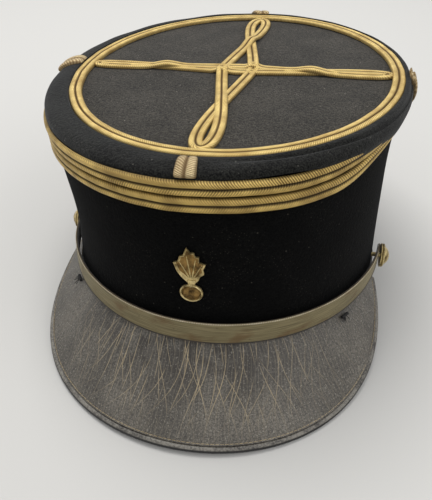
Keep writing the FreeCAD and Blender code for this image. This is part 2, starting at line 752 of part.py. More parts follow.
REST = rest_place()
spread = FreeCAD.BoundBox()
for part in parts.values():
    for point in part.Shape.tessellate(0.1)[0]:
        spread.add(REST.multVec(point))
REST.Base = REST.Base - Vector(spread.Center.x, spread.Center.y, 0)
for name, part in parts.items():
    part.Placement = REST.multiply(part.Placement)
    part.Label = name
doc.recompute()

for item in doc.Objects:
    if "Invalid" in item.State or "Error" in item.State:
        raise RuntimeError(f"{item.Name} did not build: {item.State}")
for name, part in parts.items():
    if part.Shape.isNull() or not part.Shape.isValid():
        raise RuntimeError(f"{name} has no valid shape")

os.makedirs("parts", exist_ok=True)
for name, part in parts.items():
    part.Shape.exportStep(f"parts/{name}.step")
    solids = part.Shape.Solids
    print(f"{name}: {len(solids)} solid(s), {sum(solid.Volume for solid in solids):.1f} mm3")

button_axis = REST.multVec(Vector(0, -size("button_forward"), size("strap_middle")))
print("rest tilt, degrees:", round(math.degrees(REST.Rotation.Angle), 3), "shift:", REST.Base)
print("button axis passes:", button_axis)
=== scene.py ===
# %% [markdown]
# # A stiff officer's cap
#
# The cap is a short cylinder of black wool over board, flared under a flat crown. A padded
# roll covers the crown's edge, and gold soutache (a flat braid of two ridges with a groove
# between them) runs round the crown, over it in a knot, and twice round the side. Below are a
# cracked leather peak, a gold lace strap on two buttons, and a ball-and-flame badge.
#
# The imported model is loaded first. It fixes every size and place, so nothing is fitted by eye.

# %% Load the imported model
import json
import math
import random

import bmesh
import bpy
from mathutils import Matrix, Vector, noise


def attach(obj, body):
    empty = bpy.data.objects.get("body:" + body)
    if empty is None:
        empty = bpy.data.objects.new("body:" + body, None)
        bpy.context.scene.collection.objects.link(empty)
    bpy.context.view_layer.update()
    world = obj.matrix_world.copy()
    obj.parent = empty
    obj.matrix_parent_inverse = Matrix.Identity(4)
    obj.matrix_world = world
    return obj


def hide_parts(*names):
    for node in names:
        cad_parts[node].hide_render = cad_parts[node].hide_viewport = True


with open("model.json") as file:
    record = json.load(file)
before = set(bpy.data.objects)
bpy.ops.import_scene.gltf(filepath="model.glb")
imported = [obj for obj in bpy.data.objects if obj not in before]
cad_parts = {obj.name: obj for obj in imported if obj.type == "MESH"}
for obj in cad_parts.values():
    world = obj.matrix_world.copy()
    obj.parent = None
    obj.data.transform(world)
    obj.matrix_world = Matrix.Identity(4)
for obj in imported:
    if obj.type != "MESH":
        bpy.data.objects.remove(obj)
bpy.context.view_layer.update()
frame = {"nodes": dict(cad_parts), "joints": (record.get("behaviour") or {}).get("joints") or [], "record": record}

record = frame["record"]

# %% [markdown]
# ## The cap's own frame
#
# On the table the cap is tipped back, because its peak props the front up. It is far easier to
# draw it upright, in millimetres, with its lower edge on z = 0 and its front towards -Y. One
# matrix then lays each finished mesh on the table. The tilt comes from the lower edge's mount,
# and the shift from the axis that the strap and both buttons share.

# %% One matrix from the cap's frame to the table
MM = 0.001
BUTTON_FORWARD = 17.3
STRAP_MIDDLE = 9.2
lower_edge = next(mount for mount in record["mounts"] if mount["name"] == "lower_edge")
swing = next(joint for joint in frame["joints"] if joint["name"] == "chin_strap_swing")
tilt = math.atan2(-lower_edge["axis"][1], -lower_edge["axis"][2])
TURN = Matrix.Rotation(-tilt, 4, "X")
shift = Vector(swing["pos_m"]) - TURN @ Vector((0, -BUTTON_FORWARD, STRAP_MIDDLE)) * MM
REST = Matrix.Translation(shift) @ TURN @ Matrix.Scale(MM, 4)
print("tilted back by", round(math.degrees(tilt), 2), "degrees")

# %% [markdown]
# ## The shape that everything follows
#
# Any level section of the cap is an oval, longer from front to back. The ovals grow and tip
# backwards towards the crown. A point on the cap is then a turn (0 in front, growing towards
# the wearer's left), a level, and a distance out from the cloth.

# %% Ovals and the planes they lie in
SIDE_HIGH = 92.4
CROWN_LEVEL = 92.9
PITCH, BANK = math.radians(5.15), math.radians(2.2)
BASE_WIDE, BASE_LONG = 85.0, 102.6
TOP_WIDE, TOP_FRONT, TOP_BACK = 92.3, 104.0, 115.3
LEAN = 6.0


def section(level, x=0.0, y=0.0):
    """The plane of a seam: level at the lower edge, tipped at the crown."""
    share = level / CROWN_LEVEL
    pitch, bank = PITCH * share, BANK * share
    rise = y * math.tan(pitch) + x * math.tan(bank)
    tip = Matrix.Rotation(pitch, 4, "X") @ Matrix.Rotation(-bank, 4, "Y")
    return Matrix.Translation((x, y, level + rise)) @ tip


def on_oval(oval, level, turn, out=0.0, up=0.0):
    """A point on an oval (half width, half length, x, y), moved outwards and upwards."""
    wide, long, x, y = oval
    outward = Vector((long * math.sin(turn), -wide * math.cos(turn), 0)).normalized()
    spot = Vector((wide * math.sin(turn), -long * math.cos(turn), up))
    return section(level, x, y) @ (spot + outward * out)


def side_oval(level):
    """The outer face of the side's cloth at a level."""
    share = level / SIDE_HIGH
    flare = share ** 4
    pull = math.sin(math.pi * share)
    wide = BASE_WIDE * (1 - flare) + TOP_WIDE * flare - pull
    front = BASE_LONG * (1 - flare) + TOP_FRONT * flare - pull
    back = BASE_LONG * (1 - flare) + TOP_BACK * flare - pull
    return wide, (front + back) / 2, -LEAN * share ** 2, (back - front) / 2


print("the side's upper oval:", [round(x, 1) for x in side_oval(SIDE_HIGH)])

# %% [markdown]
# ## How a ring-shaped piece is made
#
# Cloth wall, roll, braid, peak and strap are all one section carried round the cap. The section
# is drawn once as a few points and spun about Z at a large radius, which gives an even hoop.
# Each vertex then knows its turn (its angle), its distance out and its height, and is moved to
# where the cap has that place. Lofting ovals would give the same shape, but the spin keeps a
# clean grid, and the grid carries a map in millimetres for the finishes.

# %% Spin a section, then bend the hoop into place
BIG = 1000.0  # radius of the hoop before it is bent
CUT = "cut"  # the map's name: millimetres along and across, as the cloth or braid was cut
AROUND = 95.0  # millimetres to a radian, round the cap


def smooth(value, low, high):
    """0 up to low, 1 from high on, and a smooth rise between them."""
    share = min(max((value - low) / (high - low), 0), 1)
    return 3 * share ** 2 - 2 * share ** 3


def bell(value, middle, width):
    return math.exp(-((value - middle) / width) ** 2)


def drift(turn, rate, third):
    """Soft noise that closes on itself round the cap, from -1 to 1."""
    return noise.noise(Vector((rate * math.sin(turn), rate * math.cos(turn), third)))


def measured(points):
    """Section points (out, up) with the distance along the section as a third number."""
    rows, distance, last = [], 0.0, points[0]
    for point in points:
        distance += math.dist(last, point)
        rows.append((point[0], point[1], distance))
        last = point
    return rows


def spin_section(rows, steps, start=-math.pi, sweep=2 * math.pi):
    """A hoop, or part of one, from section rows (out, up, across). The section is closed."""
    mesh = bmesh.new()
    across = mesh.verts.layers.float.new("across")
    verts = []
    for out, up, place in rows:
        vert = mesh.verts.new((0, -(BIG + out), up))
        vert[across] = place
        verts.append(vert)
    edges = [mesh.edges.new(pair) for pair in zip(verts, verts[1:] + verts[:1])]
    turn = Matrix.Rotation(start, 3, "Z")
    bmesh.ops.rotate(mesh, verts=verts, cent=(0, 0, 0), matrix=turn)
    whole = sweep > 6.28
    bmesh.ops.spin(mesh, geom=verts + edges, cent=(0, 0, 0), axis=(0, 0, 1),
                   angle=sweep, steps=steps, use_merge=whole)
    if not whole:
        rims = [edge for edge in mesh.edges if edge.is_boundary]
        bmesh.ops.holes_fill(mesh, edges=rims, sides=0)
    bmesh.ops.recalc_face_normals(mesh, faces=mesh.faces)
    return mesh


def turn_of(spot):
    return math.atan2(spot.x, -spot.y)


def bend(mesh, place, along=None):
    """Maps the hoop in millimetres, then moves each vertex to place(turn, out, up)."""
    along = along or (lambda turn: turn * AROUND)
    across = mesh.verts.layers.float["across"]
    flat = mesh.loops.layers.uv.new(CUT)
    for face in mesh.faces:
        middle = turn_of(face.calc_center_median())
        for loop in face.loops:
            away = (turn_of(loop.vert.co) - middle + math.pi) % (2 * math.pi) - math.pi
            loop[flat].uv = (along(middle + away), loop.vert[across])
    for vert in mesh.verts:
        out = math.hypot(vert.co.x, vert.co.y) - BIG
        vert.co = place(turn_of(vert.co), out, vert.co.z)
    return mesh


# %% [markdown]
# ## Keeping a piece
#
# A finished mesh becomes an object at the origin, with its place in its vertices, as the packed
# nodes have. It rides on a body, so that the strap and the buttons move, and it stands for the
# plain node that it replaces.

# %% Turn a bmesh into a piece of the cap
SHARP = math.radians(50)


def keep(name, mesh, finish, slot, nodes=(), body="cap"):
    """Lays a mesh on the table and makes it a piece that rides on a body."""
    bmesh.ops.transform(mesh, matrix=REST, verts=mesh.verts)
    data = bpy.data.meshes.new(name)
    mesh.to_mesh(data)
    mesh.free()
    data.shade_smooth()
    data.set_sharp_from_angle(angle=SHARP)
    data.materials.append(finish)
    piece = bpy.data.objects.new(name, data)
    bpy.context.scene.collection.objects.link(piece)
    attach(piece, body)
    if nodes:
        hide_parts(*nodes)
    print(f"{name}: {len(data.polygons)} faces")
    return piece


# %% [markdown]
# ## Finishes as sums
#
# A finish is a graph of shader nodes, and most of its nodes only add or multiply. A small class
# wraps a socket so that such steps read as sums, and one method makes every other node.

# %% A socket that can be added and multiplied
class Wire:
    """An output of a shader node."""

    def __init__(self, finish, socket):
        self.finish = finish
        self.socket = socket

    def __add__(self, other):
        return self.finish.sum("ADD", self, other)

    def __radd__(self, other):
        return self.finish.sum("ADD", other, self)

    def __sub__(self, other):
        return self.finish.sum("SUBTRACT", self, other)

    def __rsub__(self, other):
        return self.finish.sum("SUBTRACT", other, self)

    def __mul__(self, other):
        return self.finish.sum("MULTIPLY", self, other)

    def __rmul__(self, other):
        return self.finish.sum("MULTIPLY", other, self)

    def __abs__(self):
        return self.finish.sum("ABSOLUTE", self)

    def sine(self):
        return self.finish.sum("SINE", self)

    def step(self, low, high):
        """0 up to low, 1 from high on, and a smooth rise between them."""
        ends = {"Value": self, "From Min": low, "From Max": high}
        return self.finish.node("ShaderNodeMapRange", {"interpolation_type": "SMOOTHSTEP"}, ends)


# %% A finish and its nodes
def tint(red, green, blue):
    """A colour given as 0 to 255 on a screen, as the shader's linear light."""
    linear = [(x / 255 / 12.92) if x < 11 else ((x / 255 + 0.055) / 1.055) ** 2.4
              for x in (red, green, blue)]
    return (*linear, 1.0)


class Finish:
    """A material being put together round one Principled shader."""

    def __init__(self, name, **constants):
        self.material = bpy.data.materials.new(name)
        self.material.use_nodes = True
        self.tree = self.material.node_tree
        self.tree.nodes.clear()
        self.shader = self.tree.nodes.new("ShaderNodeBsdfPrincipled")
        output = self.tree.nodes.new("ShaderNodeOutputMaterial")
        self.tree.links.new(self.shader.outputs[0], output.inputs[0])
        for key, value in constants.items():
            self.feed(key.replace("_", " "), value)

    def feed(self, key, value):
        self.join(self.shader.inputs[key], value)

    def join(self, target, value):
        if isinstance(value, Wire):
            self.tree.links.new(value.socket, target)
        else:
            target.default_value = value

    def node(self, kind, settings, sockets, out=0):
        """Any node: its type, its settings, what its sockets get, and the output to use."""
        node = self.tree.nodes.new(kind)
        for key, value in settings.items():
            setattr(node, key, value)
        for key, value in sockets.items():
            self.join(node.inputs[key], value)
        return Wire(self, node.outputs[out])

    def sum(self, operation, *values):
        return self.node("ShaderNodeMath", {"operation": operation}, dict(enumerate(values)))

    def solid(self, *stretch):
        """Object coordinates in millimetres, or stretched by three factors."""
        spot = self.node("ShaderNodeTexCoord", {}, {}, "Object")
        factors = [1000.0 * x for x in (stretch or (1, 1, 1))]
        return self.node("ShaderNodeVectorMath", {"operation": "MULTIPLY"}, {0: spot, 1: factors})

    def cut(self):
        """Millimetres along and across the piece, as it was cut."""
        flat = self.node("ShaderNodeUVMap", {"uv_map": CUT}, {})
        return [self.node("ShaderNodeSeparateXYZ", {}, {0: flat}, end) for end in ("X", "Y")]

    def at(self, x, y, z=0.0):
        return self.node("ShaderNodeCombineXYZ", {}, {0: x, 1: y, 2: z})

    def cloud(self, spot, scale, detail=2.0):
        """Soft noise from 0 to 1."""
        wires = {"Vector": spot, "Scale": scale, "Detail": detail}
        return self.node("ShaderNodeTexNoise", {}, wires)

    def cells(self, spot, scale, feature="F1", out="Distance"):
        sockets = {"Vector": spot, "Scale": scale}
        return self.node("ShaderNodeTexVoronoi", {"feature": feature}, sockets, out)

    def lines(self, place, fine):
        """Thin lines at uneven steps of a place: 1 on a line, 0 away from it."""
        settings = {"feature": "DISTANCE_TO_EDGE", "voronoi_dimensions": "1D"}
        cells = self.node("ShaderNodeTexVoronoi", settings, {"W": place, "Scale": 1.0})
        return 1 - cells.step(fine / 3, fine)

    def blend(self, share, first, second):
        """A colour between two colours."""
        return self.node("ShaderNodeMix", {"data_type": "RGBA"}, {0: share, 6: first, 7: second}, 2)

    def bumps(self, height, deep):
        """Relief of a height from 0 to 1, so many millimetres deep."""
        sockets = {"Height": height, "Distance": deep * MM}
        self.feed("Normal", self.node("ShaderNodeBump", {}, sockets))


# %% [markdown]
# ## Black wool
#
# The cloth is thick felted wool. Close up it is a mat of short fibres that scatters light, so it
# is never quite black, and it collects pale lint. Three clouds, from coarse to fine, give the
# nap, the mottle and the fibres. Lint is the middle of some cells of a sparse pattern. A little
# sheen lights the fibres at grazing angles.

# %% Wool
def wool(name, deep, worn, lint, sheen):
    cloth = Finish(name, Roughness=0.97, Sheen_Weight=sheen, Sheen_Roughness=0.5)
    cloth.feed("Specular IOR Level", 0.06)
    spot = cloth.solid()
    nap = cloth.cloud(spot, 0.05, 4.0)
    mottle = cloth.cloud(spot, 0.7, 3.0)
    fibres = cloth.cloud(spot, 1.7, 3.0)
    brightness = (nap * 0.15 + mottle * 0.25 + fibres * 0.8 - 0.1).step(0.36, 0.64)
    base = cloth.blend(brightness, deep, worn)
    dots = (1 - cloth.cells(spot, 0.24).step(0.03, 0.09)) * mottle.step(0.4, 0.55)
    fluff = (1 - cloth.cells(spot, 0.85).step(0.08, 0.2)) * nap.step(0.45, 0.6) * 0.35
    base = cloth.blend(fluff, base, lint)
    cloth.feed("Base Color", cloth.blend(dots * 0.75, base, lint))
    cloth.bumps(fibres * 0.7 + mottle, 0.35)
    return cloth.material


# One black wool is made three times, with light and shade painted into its colours: the side is painted darker, as
# in shade, the crown lighter, as lit from above, and the roll between them.
WOOL_SIDE_PAINTED_DARKER = wool("wool_of_the_side_painted_in_shade", tint(2, 2, 2), tint(12, 12, 11), tint(86, 82, 74), 0.02)
WOOL_CROWN_PAINTED_LIGHTER = wool(
    "wool_of_the_crown_painted_lit", tint(20, 19, 16), tint(72, 68, 61), tint(180, 174, 162), 0.12)
WOOL_ROLL_PAINTED_HALF_LIT = wool("wool_of_the_roll_painted_half_lit", tint(8, 8, 8), tint(40, 40, 37), tint(130, 126, 118), 0.12)

# %% [markdown]
# ## Gold soutache
#
# Soutache is braided of gold thread over two cords. Its strands cross in a V at the groove, so
# slanted ribs run up both ridges. The ribs are a sine of the distance along the braid plus a
# share of the distance from its middle, and their crests are painted lighter and the gaps
# between them darker, as painted shading. Wear leaves the ridges bright. The groove and both
# edges are painted brown as shade, in the hollow between the cords and where the braid meets
# the cloth.

# %% Braid
RIB = 1.15  # one rib, in millimetres along the braid


def soutache_finish(name, bright, dull, groove, slant=1.0):
    braid = Finish(name, Metallic=0.45)
    along, across = braid.cut()
    aside = abs(across)
    ribs = ((along + aside * slant) * (2 * math.pi / RIB)).sine() * 0.5 + 0.5
    spot = braid.solid()
    wear = braid.cloud(spot, 0.12, 3.0)
    threads = braid.cloud(braid.at(along * 1.5, across * 9.0), 1.0, 2.0)
    # Painted shading: the ribs' crests are lighter in colour and the gaps between them darker.
    tone_with_painted_rib_shade = (wear * 0.8 + threads * 0.5 - 0.38 + ribs * 0.42).step(0.2, 0.8)
    gold = braid.blend(tone_with_painted_rib_shade, dull, bright)
    # Painted shade: the groove between the cords and both edges are darkened towards the third colour.
    hollow = 1 - aside.step(0.15, 0.8)
    edge = aside.step(2.1, 2.6)
    shade = braid.sum("MAXIMUM", hollow, edge * 0.6)
    braid.feed("Base Color", braid.blend(shade * 0.9, gold, groove))
    braid.feed("Roughness", 0.5 - ribs * 0.12 + shade * 0.2)
    braid.bumps(ribs * 0.7 + threads * 0.5, 0.26)
    return braid.material


# Each braid's third colour is the painted shade of its groove and edges.
GOLD_CROWN = soutache_finish(
    "gold_of_the_crown", tint(244, 216, 138), tint(172, 138, 70), tint(88, 62, 28))
GOLD_SIDE = soutache_finish(
    "gold_of_the_side", tint(236, 202, 118), tint(126, 98, 44), tint(40, 28, 10))
GOLD_TAB = soutache_finish(
    "gold_of_the_tabs", tint(204, 184, 140), tint(146, 120, 80), tint(120, 96, 62))

# %% [markdown]
# ## Gold lace
#
# The strap is a band of close-woven gold lace over leather. It has tarnished to khaki, with
# fine streaks along it, brown patches and a few dark spots.

# %% Lace
def lace_finish():
    lace = Finish("tarnished_lace", Metallic=0.35)
    along, across = lace.cut()
    streaks = lace.cloud(lace.at(along * 0.05, across * 3.0), 1.0, 3.0)
    per_thread = 2 * math.pi / 0.7
    weave = ((across * per_thread).sine() * (along * per_thread).sine()) * 0.5 + 0.5
    patches = lace.cloud(lace.at(along * 0.06, across * 0.12), 1.0, 3.0)
    spots = 1 - lace.cells(lace.at(along, across), 0.22).step(0.05, 0.12)
    khaki = lace.blend(streaks.step(0.3, 0.7), tint(96, 86, 58), tint(146, 134, 98))
    khaki = lace.blend(patches.step(0.52, 0.7) * 0.6, khaki, tint(104, 76, 44))
    lace.feed("Base Color", lace.blend(spots * 0.5, khaki, tint(58, 44, 28)))
    lace.feed("Roughness", 0.42 + patches * 0.2)
    lace.bumps(weave * 0.5 + streaks, 0.12)
    return lace.material


LACE = lace_finish()

# %% [markdown]
# ## Cracked leather
#
# The peak's lacquered leather has dried out. Long cracks fan down from the strap, because the
# peak was bent round the cap, and fine crackle fills the rest. The map's first number is the
# angle round the cap, so a line of one angle runs straight away from the strap. Five sets of
# such lines, each with its own spacing and slant, sway a little and cross like real cracks. Each
# fades in and out along its length. They show most in front, where the brown stain is.

# %% Peak leather
CRACK_SETS = [(0.17, 0.0), (0.15, 0.36), (0.15, -0.36), (0.13, 0.12), (0.13, -0.15)]


def peak_finish():
    leather = Finish("cracked_leather", Coat_Roughness=0.3, Coat_Weight=0.25)
    round_, down = leather.cut()
    spot = leather.solid()
    wander = leather.cloud(spot, 0.12, 3.0)
    soft = leather.cloud(spot, 0.045, 3.0)
    grain = leather.cloud(spot, 1.6, 3.0)
    sway = leather.cloud(leather.at(round_ * 0.02, down * 0.03), 1.0, 1.0)
    cracks = 0.0
    for number, (spacing, slant) in enumerate(CRACK_SETS):
        course = leather.cloud(leather.at(round_ * 0.012, down * 0.022, 5.0 * number), 1.0, 0.0)
        path = (round_ + down * slant + course * 16.0) * spacing + 30.0 * number
        along = leather.at(path * 1.5, down * 0.03 + 7.0 * number)
        fades = leather.cloud(along, 1.0, 1.0).step(0.46, 0.56)
        cracks = leather.sum("MAXIMUM", cracks, leather.lines(path, 0.035) * fades)
    hairline = leather.lines(round_ * 0.55 + sway * 6.0 + grain * 0.15, 0.12)
    crackle = 1 - leather.cells(spot, 0.62, "DISTANCE_TO_EDGE").step(0.0, 0.13)
    front = 1 - abs(round_).step(24.0, 84.0)
    worn = (1 - down.step(20.0, 46.0)) * front * (0.6 + soft.step(0.4, 0.6) * 0.4)
    in_front = 1 - abs(round_).step(20.0, 75.0)
    stain = (1 - down.step(8.0, 34.0)) * in_front * wander.step(0.38, 0.56)
    base = leather.blend(soft.step(0.3, 0.7), tint(84, 79, 70), tint(116, 110, 99))
    base = leather.blend(stain * 0.9, base, tint(50, 43, 34))
    base = leather.blend(grain.step(0.42, 0.62) * 0.55, base, tint(56, 51, 46))
    base = leather.blend(crackle * 0.6, base, tint(36, 32, 28))
    # Painted highlight: small bright glints, as light off the lacquer, are painted into the colour.
    painted_glints = leather.cloud(spot, 1.3, 2.0).step(0.6, 0.68)
    base = leather.blend(painted_glints * 0.4, base, tint(176, 170, 156))
    base = leather.blend(hairline * (0.22 + worn * 0.1), base, tint(146, 136, 118))
    base = leather.blend(cracks * (0.06 + worn * 0.8), base, tint(196, 176, 140))
    specks = 1 - leather.cells(spot, 0.34).step(0.05, 0.1)
    leather.feed("Base Color", leather.blend(specks * 0.6, base, tint(176, 166, 146)))
    leather.feed("Roughness", 0.5 - painted_glints * 0.2 + grain * 0.1)
    leather.bumps(grain * 0.35 - cracks * worn - crackle * 0.3 - hairline * 0.2, 0.25)
    return leather.material


PEAK_LEATHER = peak_finish()

# %% [markdown]
# ## Plainer finishes
#
# Bound edges, the sweatband and the under side of the peak are leather with a fine grain. Metal
# parts are brass, dark where it isn't rubbed. Board, cane, wadding, lining and thread mostly
# hide, and each has its own grain so that no view shows a flat colour.

# %% Smooth leather, brass and the stuff inside
def leather_finish(name, dark, light, rough=0.5, scale=1.3):
    leather = Finish(name)
    spot = leather.solid()
    grain = leather.cells(spot, scale, "DISTANCE_TO_EDGE").step(0.0, 0.25)
    wear = leather.cloud(spot, 0.09, 4.0)
    base = leather.blend((wear * 0.8 + grain * 0.3).step(0.3, 0.8), dark, light)
    leather.feed("Base Color", base)
    leather.feed("Roughness", rough - wear * 0.15)
    leather.bumps(grain, 0.12)
    return leather.material


def rim_finish():
    """The bound edge: worn grey on top, painted near black as shade where it turns out and down."""
    leather = Finish("bound_edge", Roughness=0.5)
    across = leather.cut()[1]
    spot = leather.solid()
    flecks = leather.cloud(spot, 1.1, 3.0)
    wear = leather.cloud(spot, 0.12, 3.0)
    # Painted shade: all but the top band is near black, as shade on the outer and lower side.
    top = across.step(1.9, 2.5) * (1 - across.step(4.7, 5.1))
    rubbed = (flecks * 0.7 + wear * 0.6).step(0.45, 0.8)
    grey = leather.blend(rubbed, tint(60, 56, 51), tint(132, 127, 117))
    leather.feed("Base Color", leather.blend(top, tint(16, 15, 14), grey))
    leather.bumps(flecks, 0.2)
    return leather.material


def brass_finish(name, rubbed, dark):
    brass = Finish(name, Metallic=0.85)
    spot = brass.solid()
    tarnish = brass.cloud(spot, 0.3, 3.0)
    pits = brass.cloud(spot, 2.0, 2.0)
    brass.feed("Base Color", brass.blend((tarnish * 0.8 + pits * 0.3).step(0.3, 0.7), dark, rubbed))
    brass.feed("Roughness", 0.5 - tarnish * 0.25)
    brass.bumps(pits, 0.15)
    return brass.material


def grained(name, dark, light, stretch, rough=0.85, deep=0.1):
    """Cloth, board, cane or thread: a cloud stretched along its grain."""
    stuff = Finish(name, Roughness=rough)
    grain = stuff.cloud(stuff.solid(*stretch), 1.0, 4.0)
    stuff.feed("Base Color", stuff.blend(grain.step(0.3, 0.7), dark, light))
    stuff.bumps(grain, deep)
    return stuff.material


FINISHES = {
    "black_wool": WOOL_SIDE_PAINTED_DARKER,
    "gold_braid": GOLD_CROWN,
    "gold_lace": LACE,
    "peak_leather": PEAK_LEATHER,
    "peak_under": leather_finish("green_under_leather", tint(38, 52, 42), tint(62, 76, 60)),
    "rim_leather": rim_finish(),
    "black_leather": leather_finish("black_binding", tint(20, 19, 18), tint(42, 39, 36)),
    "brown_leather": leather_finish("sweat_leather", tint(84, 58, 36), tint(136, 98, 64), 0.6),
    "strap_backing": leather_finish("strap_backing", tint(34, 28, 22), tint(60, 50, 38)),
    "stiffener_board": grained(
        "pressed_board", tint(120, 100, 72), tint(160, 138, 104), (0.6, 0.6, 2)),
    "lining_cloth": grained("lining_twill", tint(122, 104, 78), tint(158, 138, 108), (1.4, 1.4, 4)),
    "wadding": grained("cotton_wadding", tint(186, 180, 168), tint(216, 210, 198), (1, 1, 1), 0.95),
    "cane": grained("split_cane", tint(132, 102, 60), tint(176, 142, 92), (0.3, 0.3, 3), 0.6),
    "brass": brass_finish("old_brass", tint(222, 200, 142), tint(92, 74, 40)),
    "steel_pin": brass_finish("steel_pin", tint(170, 170, 168), tint(96, 94, 92)),
    "black_thread": grained("black_thread", tint(14, 13, 13), tint(34, 32, 30), (4, 4, 4)),
}
DARK_BRASS = brass_finish("brass_in_the_hollows", tint(150, 118, 66), tint(44, 32, 14))
THREAD_TAN = grained("tan_thread", tint(150, 132, 100), tint(190, 172, 138), (3, 3, 3))

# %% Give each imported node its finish
for part in record["subparts"]:
    data = frame["nodes"][part["node"]].data
    data.materials.clear()
    data.materials.append(FINISHES[part["material_slot"]])
print(len(record["subparts"]), "nodes have a finish of their own")

# %% [markdown]
# ## The camera and the light
#
# The camera stands in front of the cap, a little to its left, and looks down on the crown. Its
# numbers are in the cap's own frame, and the same matrix as the pieces lays them on the table.

# %% Camera
TARGET = Vector((-8.216, 0.0, -12.52))
DISTANCE = 362.67
AZIMUTH, ELEVATION, ROLL = 0.178, 0.559, 0.034
LENS = 41.74

back = Vector((math.sin(AZIMUTH) * math.cos(ELEVATION),
               -math.cos(AZIMUTH) * math.cos(ELEVATION), math.sin(ELEVATION)))
right = Vector((math.cos(AZIMUTH), math.sin(AZIMUTH), 0.0))
up = back.cross(right)
rolled_right = right * math.cos(ROLL) + up * math.sin(ROLL)
rolled_up = up * math.cos(ROLL) - right * math.sin(ROLL)
aim = TURN.to_3x3() @ Matrix((rolled_right, rolled_up, back)).transposed()
camera = bpy.data.objects.new("camera", bpy.data.cameras.new("camera"))
camera.data.lens = LENS
camera.matrix_world = Matrix.Translation(REST @ (TARGET + back * DISTANCE)) @ aim.to_4x4()
bpy.context.scene.collection.objects.link(camera)
bpy.context.scene.camera = camera

# %% Floor, room and lamps
floor_mesh = bmesh.new()
bmesh.ops.create_circle(floor_mesh, cap_ends=True, segments=64, radius=12.0)
floor_data = bpy.data.meshes.new("floor")
floor_mesh.to_mesh(floor_data)
floor_mesh.free()
floor = bpy.data.objects.new("floor", floor_data)
pale = Finish("pale_floor", Base_Color=tint(205, 203, 198), Roughness=0.9)
floor_data.materials.append(pale.material)
bpy.context.scene.collection.objects.link(floor)

world = bpy.data.worlds.new("room")
world.use_nodes = True
world.node_tree.nodes["Background"].inputs["Color"].default_value = tint(236, 238, 242)
world.node_tree.nodes["Background"].inputs["Strength"].default_value = 0.75
bpy.context.scene.world = world
bpy.context.scene.view_settings.view_transform = "Standard"


def lamp(name, place, wide, watts):
    light = bpy.data.lights.new(name, "AREA")
    light.size = wide
    light.energy = watts
    holder = bpy.data.objects.new(name, light)
    holder.location = place
    holder.rotation_euler = (-Vector(place)).to_track_quat("-Z", "Y").to_euler()
    bpy.context.scene.collection.objects.link(holder)


lamp("key", (-0.25, 0.35, 1.2), 0.7, 10.0)
lamp("fill", (0.9, -0.3, 0.9), 1.0, 3.0)

# %% [markdown]
# ## The side
#
# The side's cloth is pulled over board, so it is smooth, with only shallow dents from handling.
# One closed wall is spun and bent to the ovals, and its outer face is pushed in by soft noise.
# Noise never pushes it out, because the braid lies a quarter of a millimetre off the cloth. On
# the wearer's right the whole wall has bowed out a little above its middle.

# %% Side cloth
FOOT = 2.05
CLOTH = 1.2
DENT = 0.7


def belly(turn, level):
    """How far the side has bowed out on the wearer's right, above its middle."""
    fade = min(max((level - 76) / 12, 0), 1)
    return 3.2 * bell(math.degrees(turn), -86, 42) * smooth(level, 24, 64) * (1 - 0.9 * fade)


def side_place(turn, out, level):
    dent = -DENT * (0.5 + 0.5 * drift(turn, 2.2, level * 0.03)) if out > -0.1 else 0.0
    return on_oval(side_oval(level), level, turn, out + dent + belly(turn, level))


LEVELS = [FOOT + (SIDE_HIGH - FOOT) * step / 26 for step in range(27)]
rows = measured([(0.0, level) for level in LEVELS] + [(-CLOTH, level) for level in LEVELS[::-1]])
side_wall = keep("wool_side", bend(spin_section(rows, 200), side_place), WOOL_SIDE_PAINTED_DARKER, "black_wool",
                 ["side_cloth"])

# %% [markdown]
# ## The crown
#
# The crown's cloth is one flat oval inside the ring of braid. A line from the middle to the rim
# is spun into a disc, its pole is closed by merging doubles, and the disc is stretched to the
# ring's oval.

# %% Crown cloth
RING = (83.8, 98.7, -1.5, 10.4)
CLOTH_LEVEL = 94.15
RING_LEVEL = 95.6
CLOTH_RINGS = 26


def disc(shares, thick, steps):
    """A plate of radius 1 and a thickness, from a line of shares spun about Z."""
    mesh = bmesh.new()
    mesh.verts.layers.float.new("across")
    top = [mesh.verts.new((0, -share, thick)) for share in shares]
    foot = [mesh.verts.new((0, -share, 0)) for share in reversed(shares)]
    line = top + foot
    edges = [mesh.edges.new(pair) for pair in zip(line, line[1:])]
    bmesh.ops.spin(mesh, geom=line + edges, cent=(0, 0, 0), axis=(0, 0, 1),
                   angle=2 * math.pi, steps=steps, use_merge=True)
    bmesh.ops.remove_doubles(mesh, verts=mesh.verts, dist=1e-5)
    bmesh.ops.recalc_face_normals(mesh, faces=mesh.faces)
    return mesh


def stretch_disc(mesh, oval, level, wave, thick):
    """Stretches a disc to an oval in its plane. Its upper face gets a soft wave."""
    wide, long, x, y = oval
    place = section(level, x, y)
    for vert in mesh.verts:
        lift = wave * (noise.noise(Vector((vert.co.x * 3, vert.co.y * 3, 1.0))) - 1) / 2
        high = vert.co.z + (lift if vert.co.z > thick / 2 else 0)
        vert.co = place @ Vector((vert.co.x * wide, vert.co.y * long, high))
    return mesh


shares = [step / CLOTH_RINGS for step in range(CLOTH_RINGS + 1)]
crown_mesh = stretch_disc(disc(shares, CLOTH, 140), RING, CLOTH_LEVEL, 0.35, CLOTH)
crown = keep("wool_crown", crown_mesh, WOOL_CROWN_PAINTED_LIGHTER, "black_wool", ["crown_cloth"])

# %% [markdown]
# ## The padded roll
#
# The roll is a strip of wool stuffed with wadding, from the ring's seam out and down over the
# side's upper edge. It isn't even: on the wearer's left it has slumped, with a crease where the
# inner part stays up, and its outer part hangs over the braid. One share, from the seam (0) to
# the outer edge (1), says where a point of the section lies, and the slump grows with it.

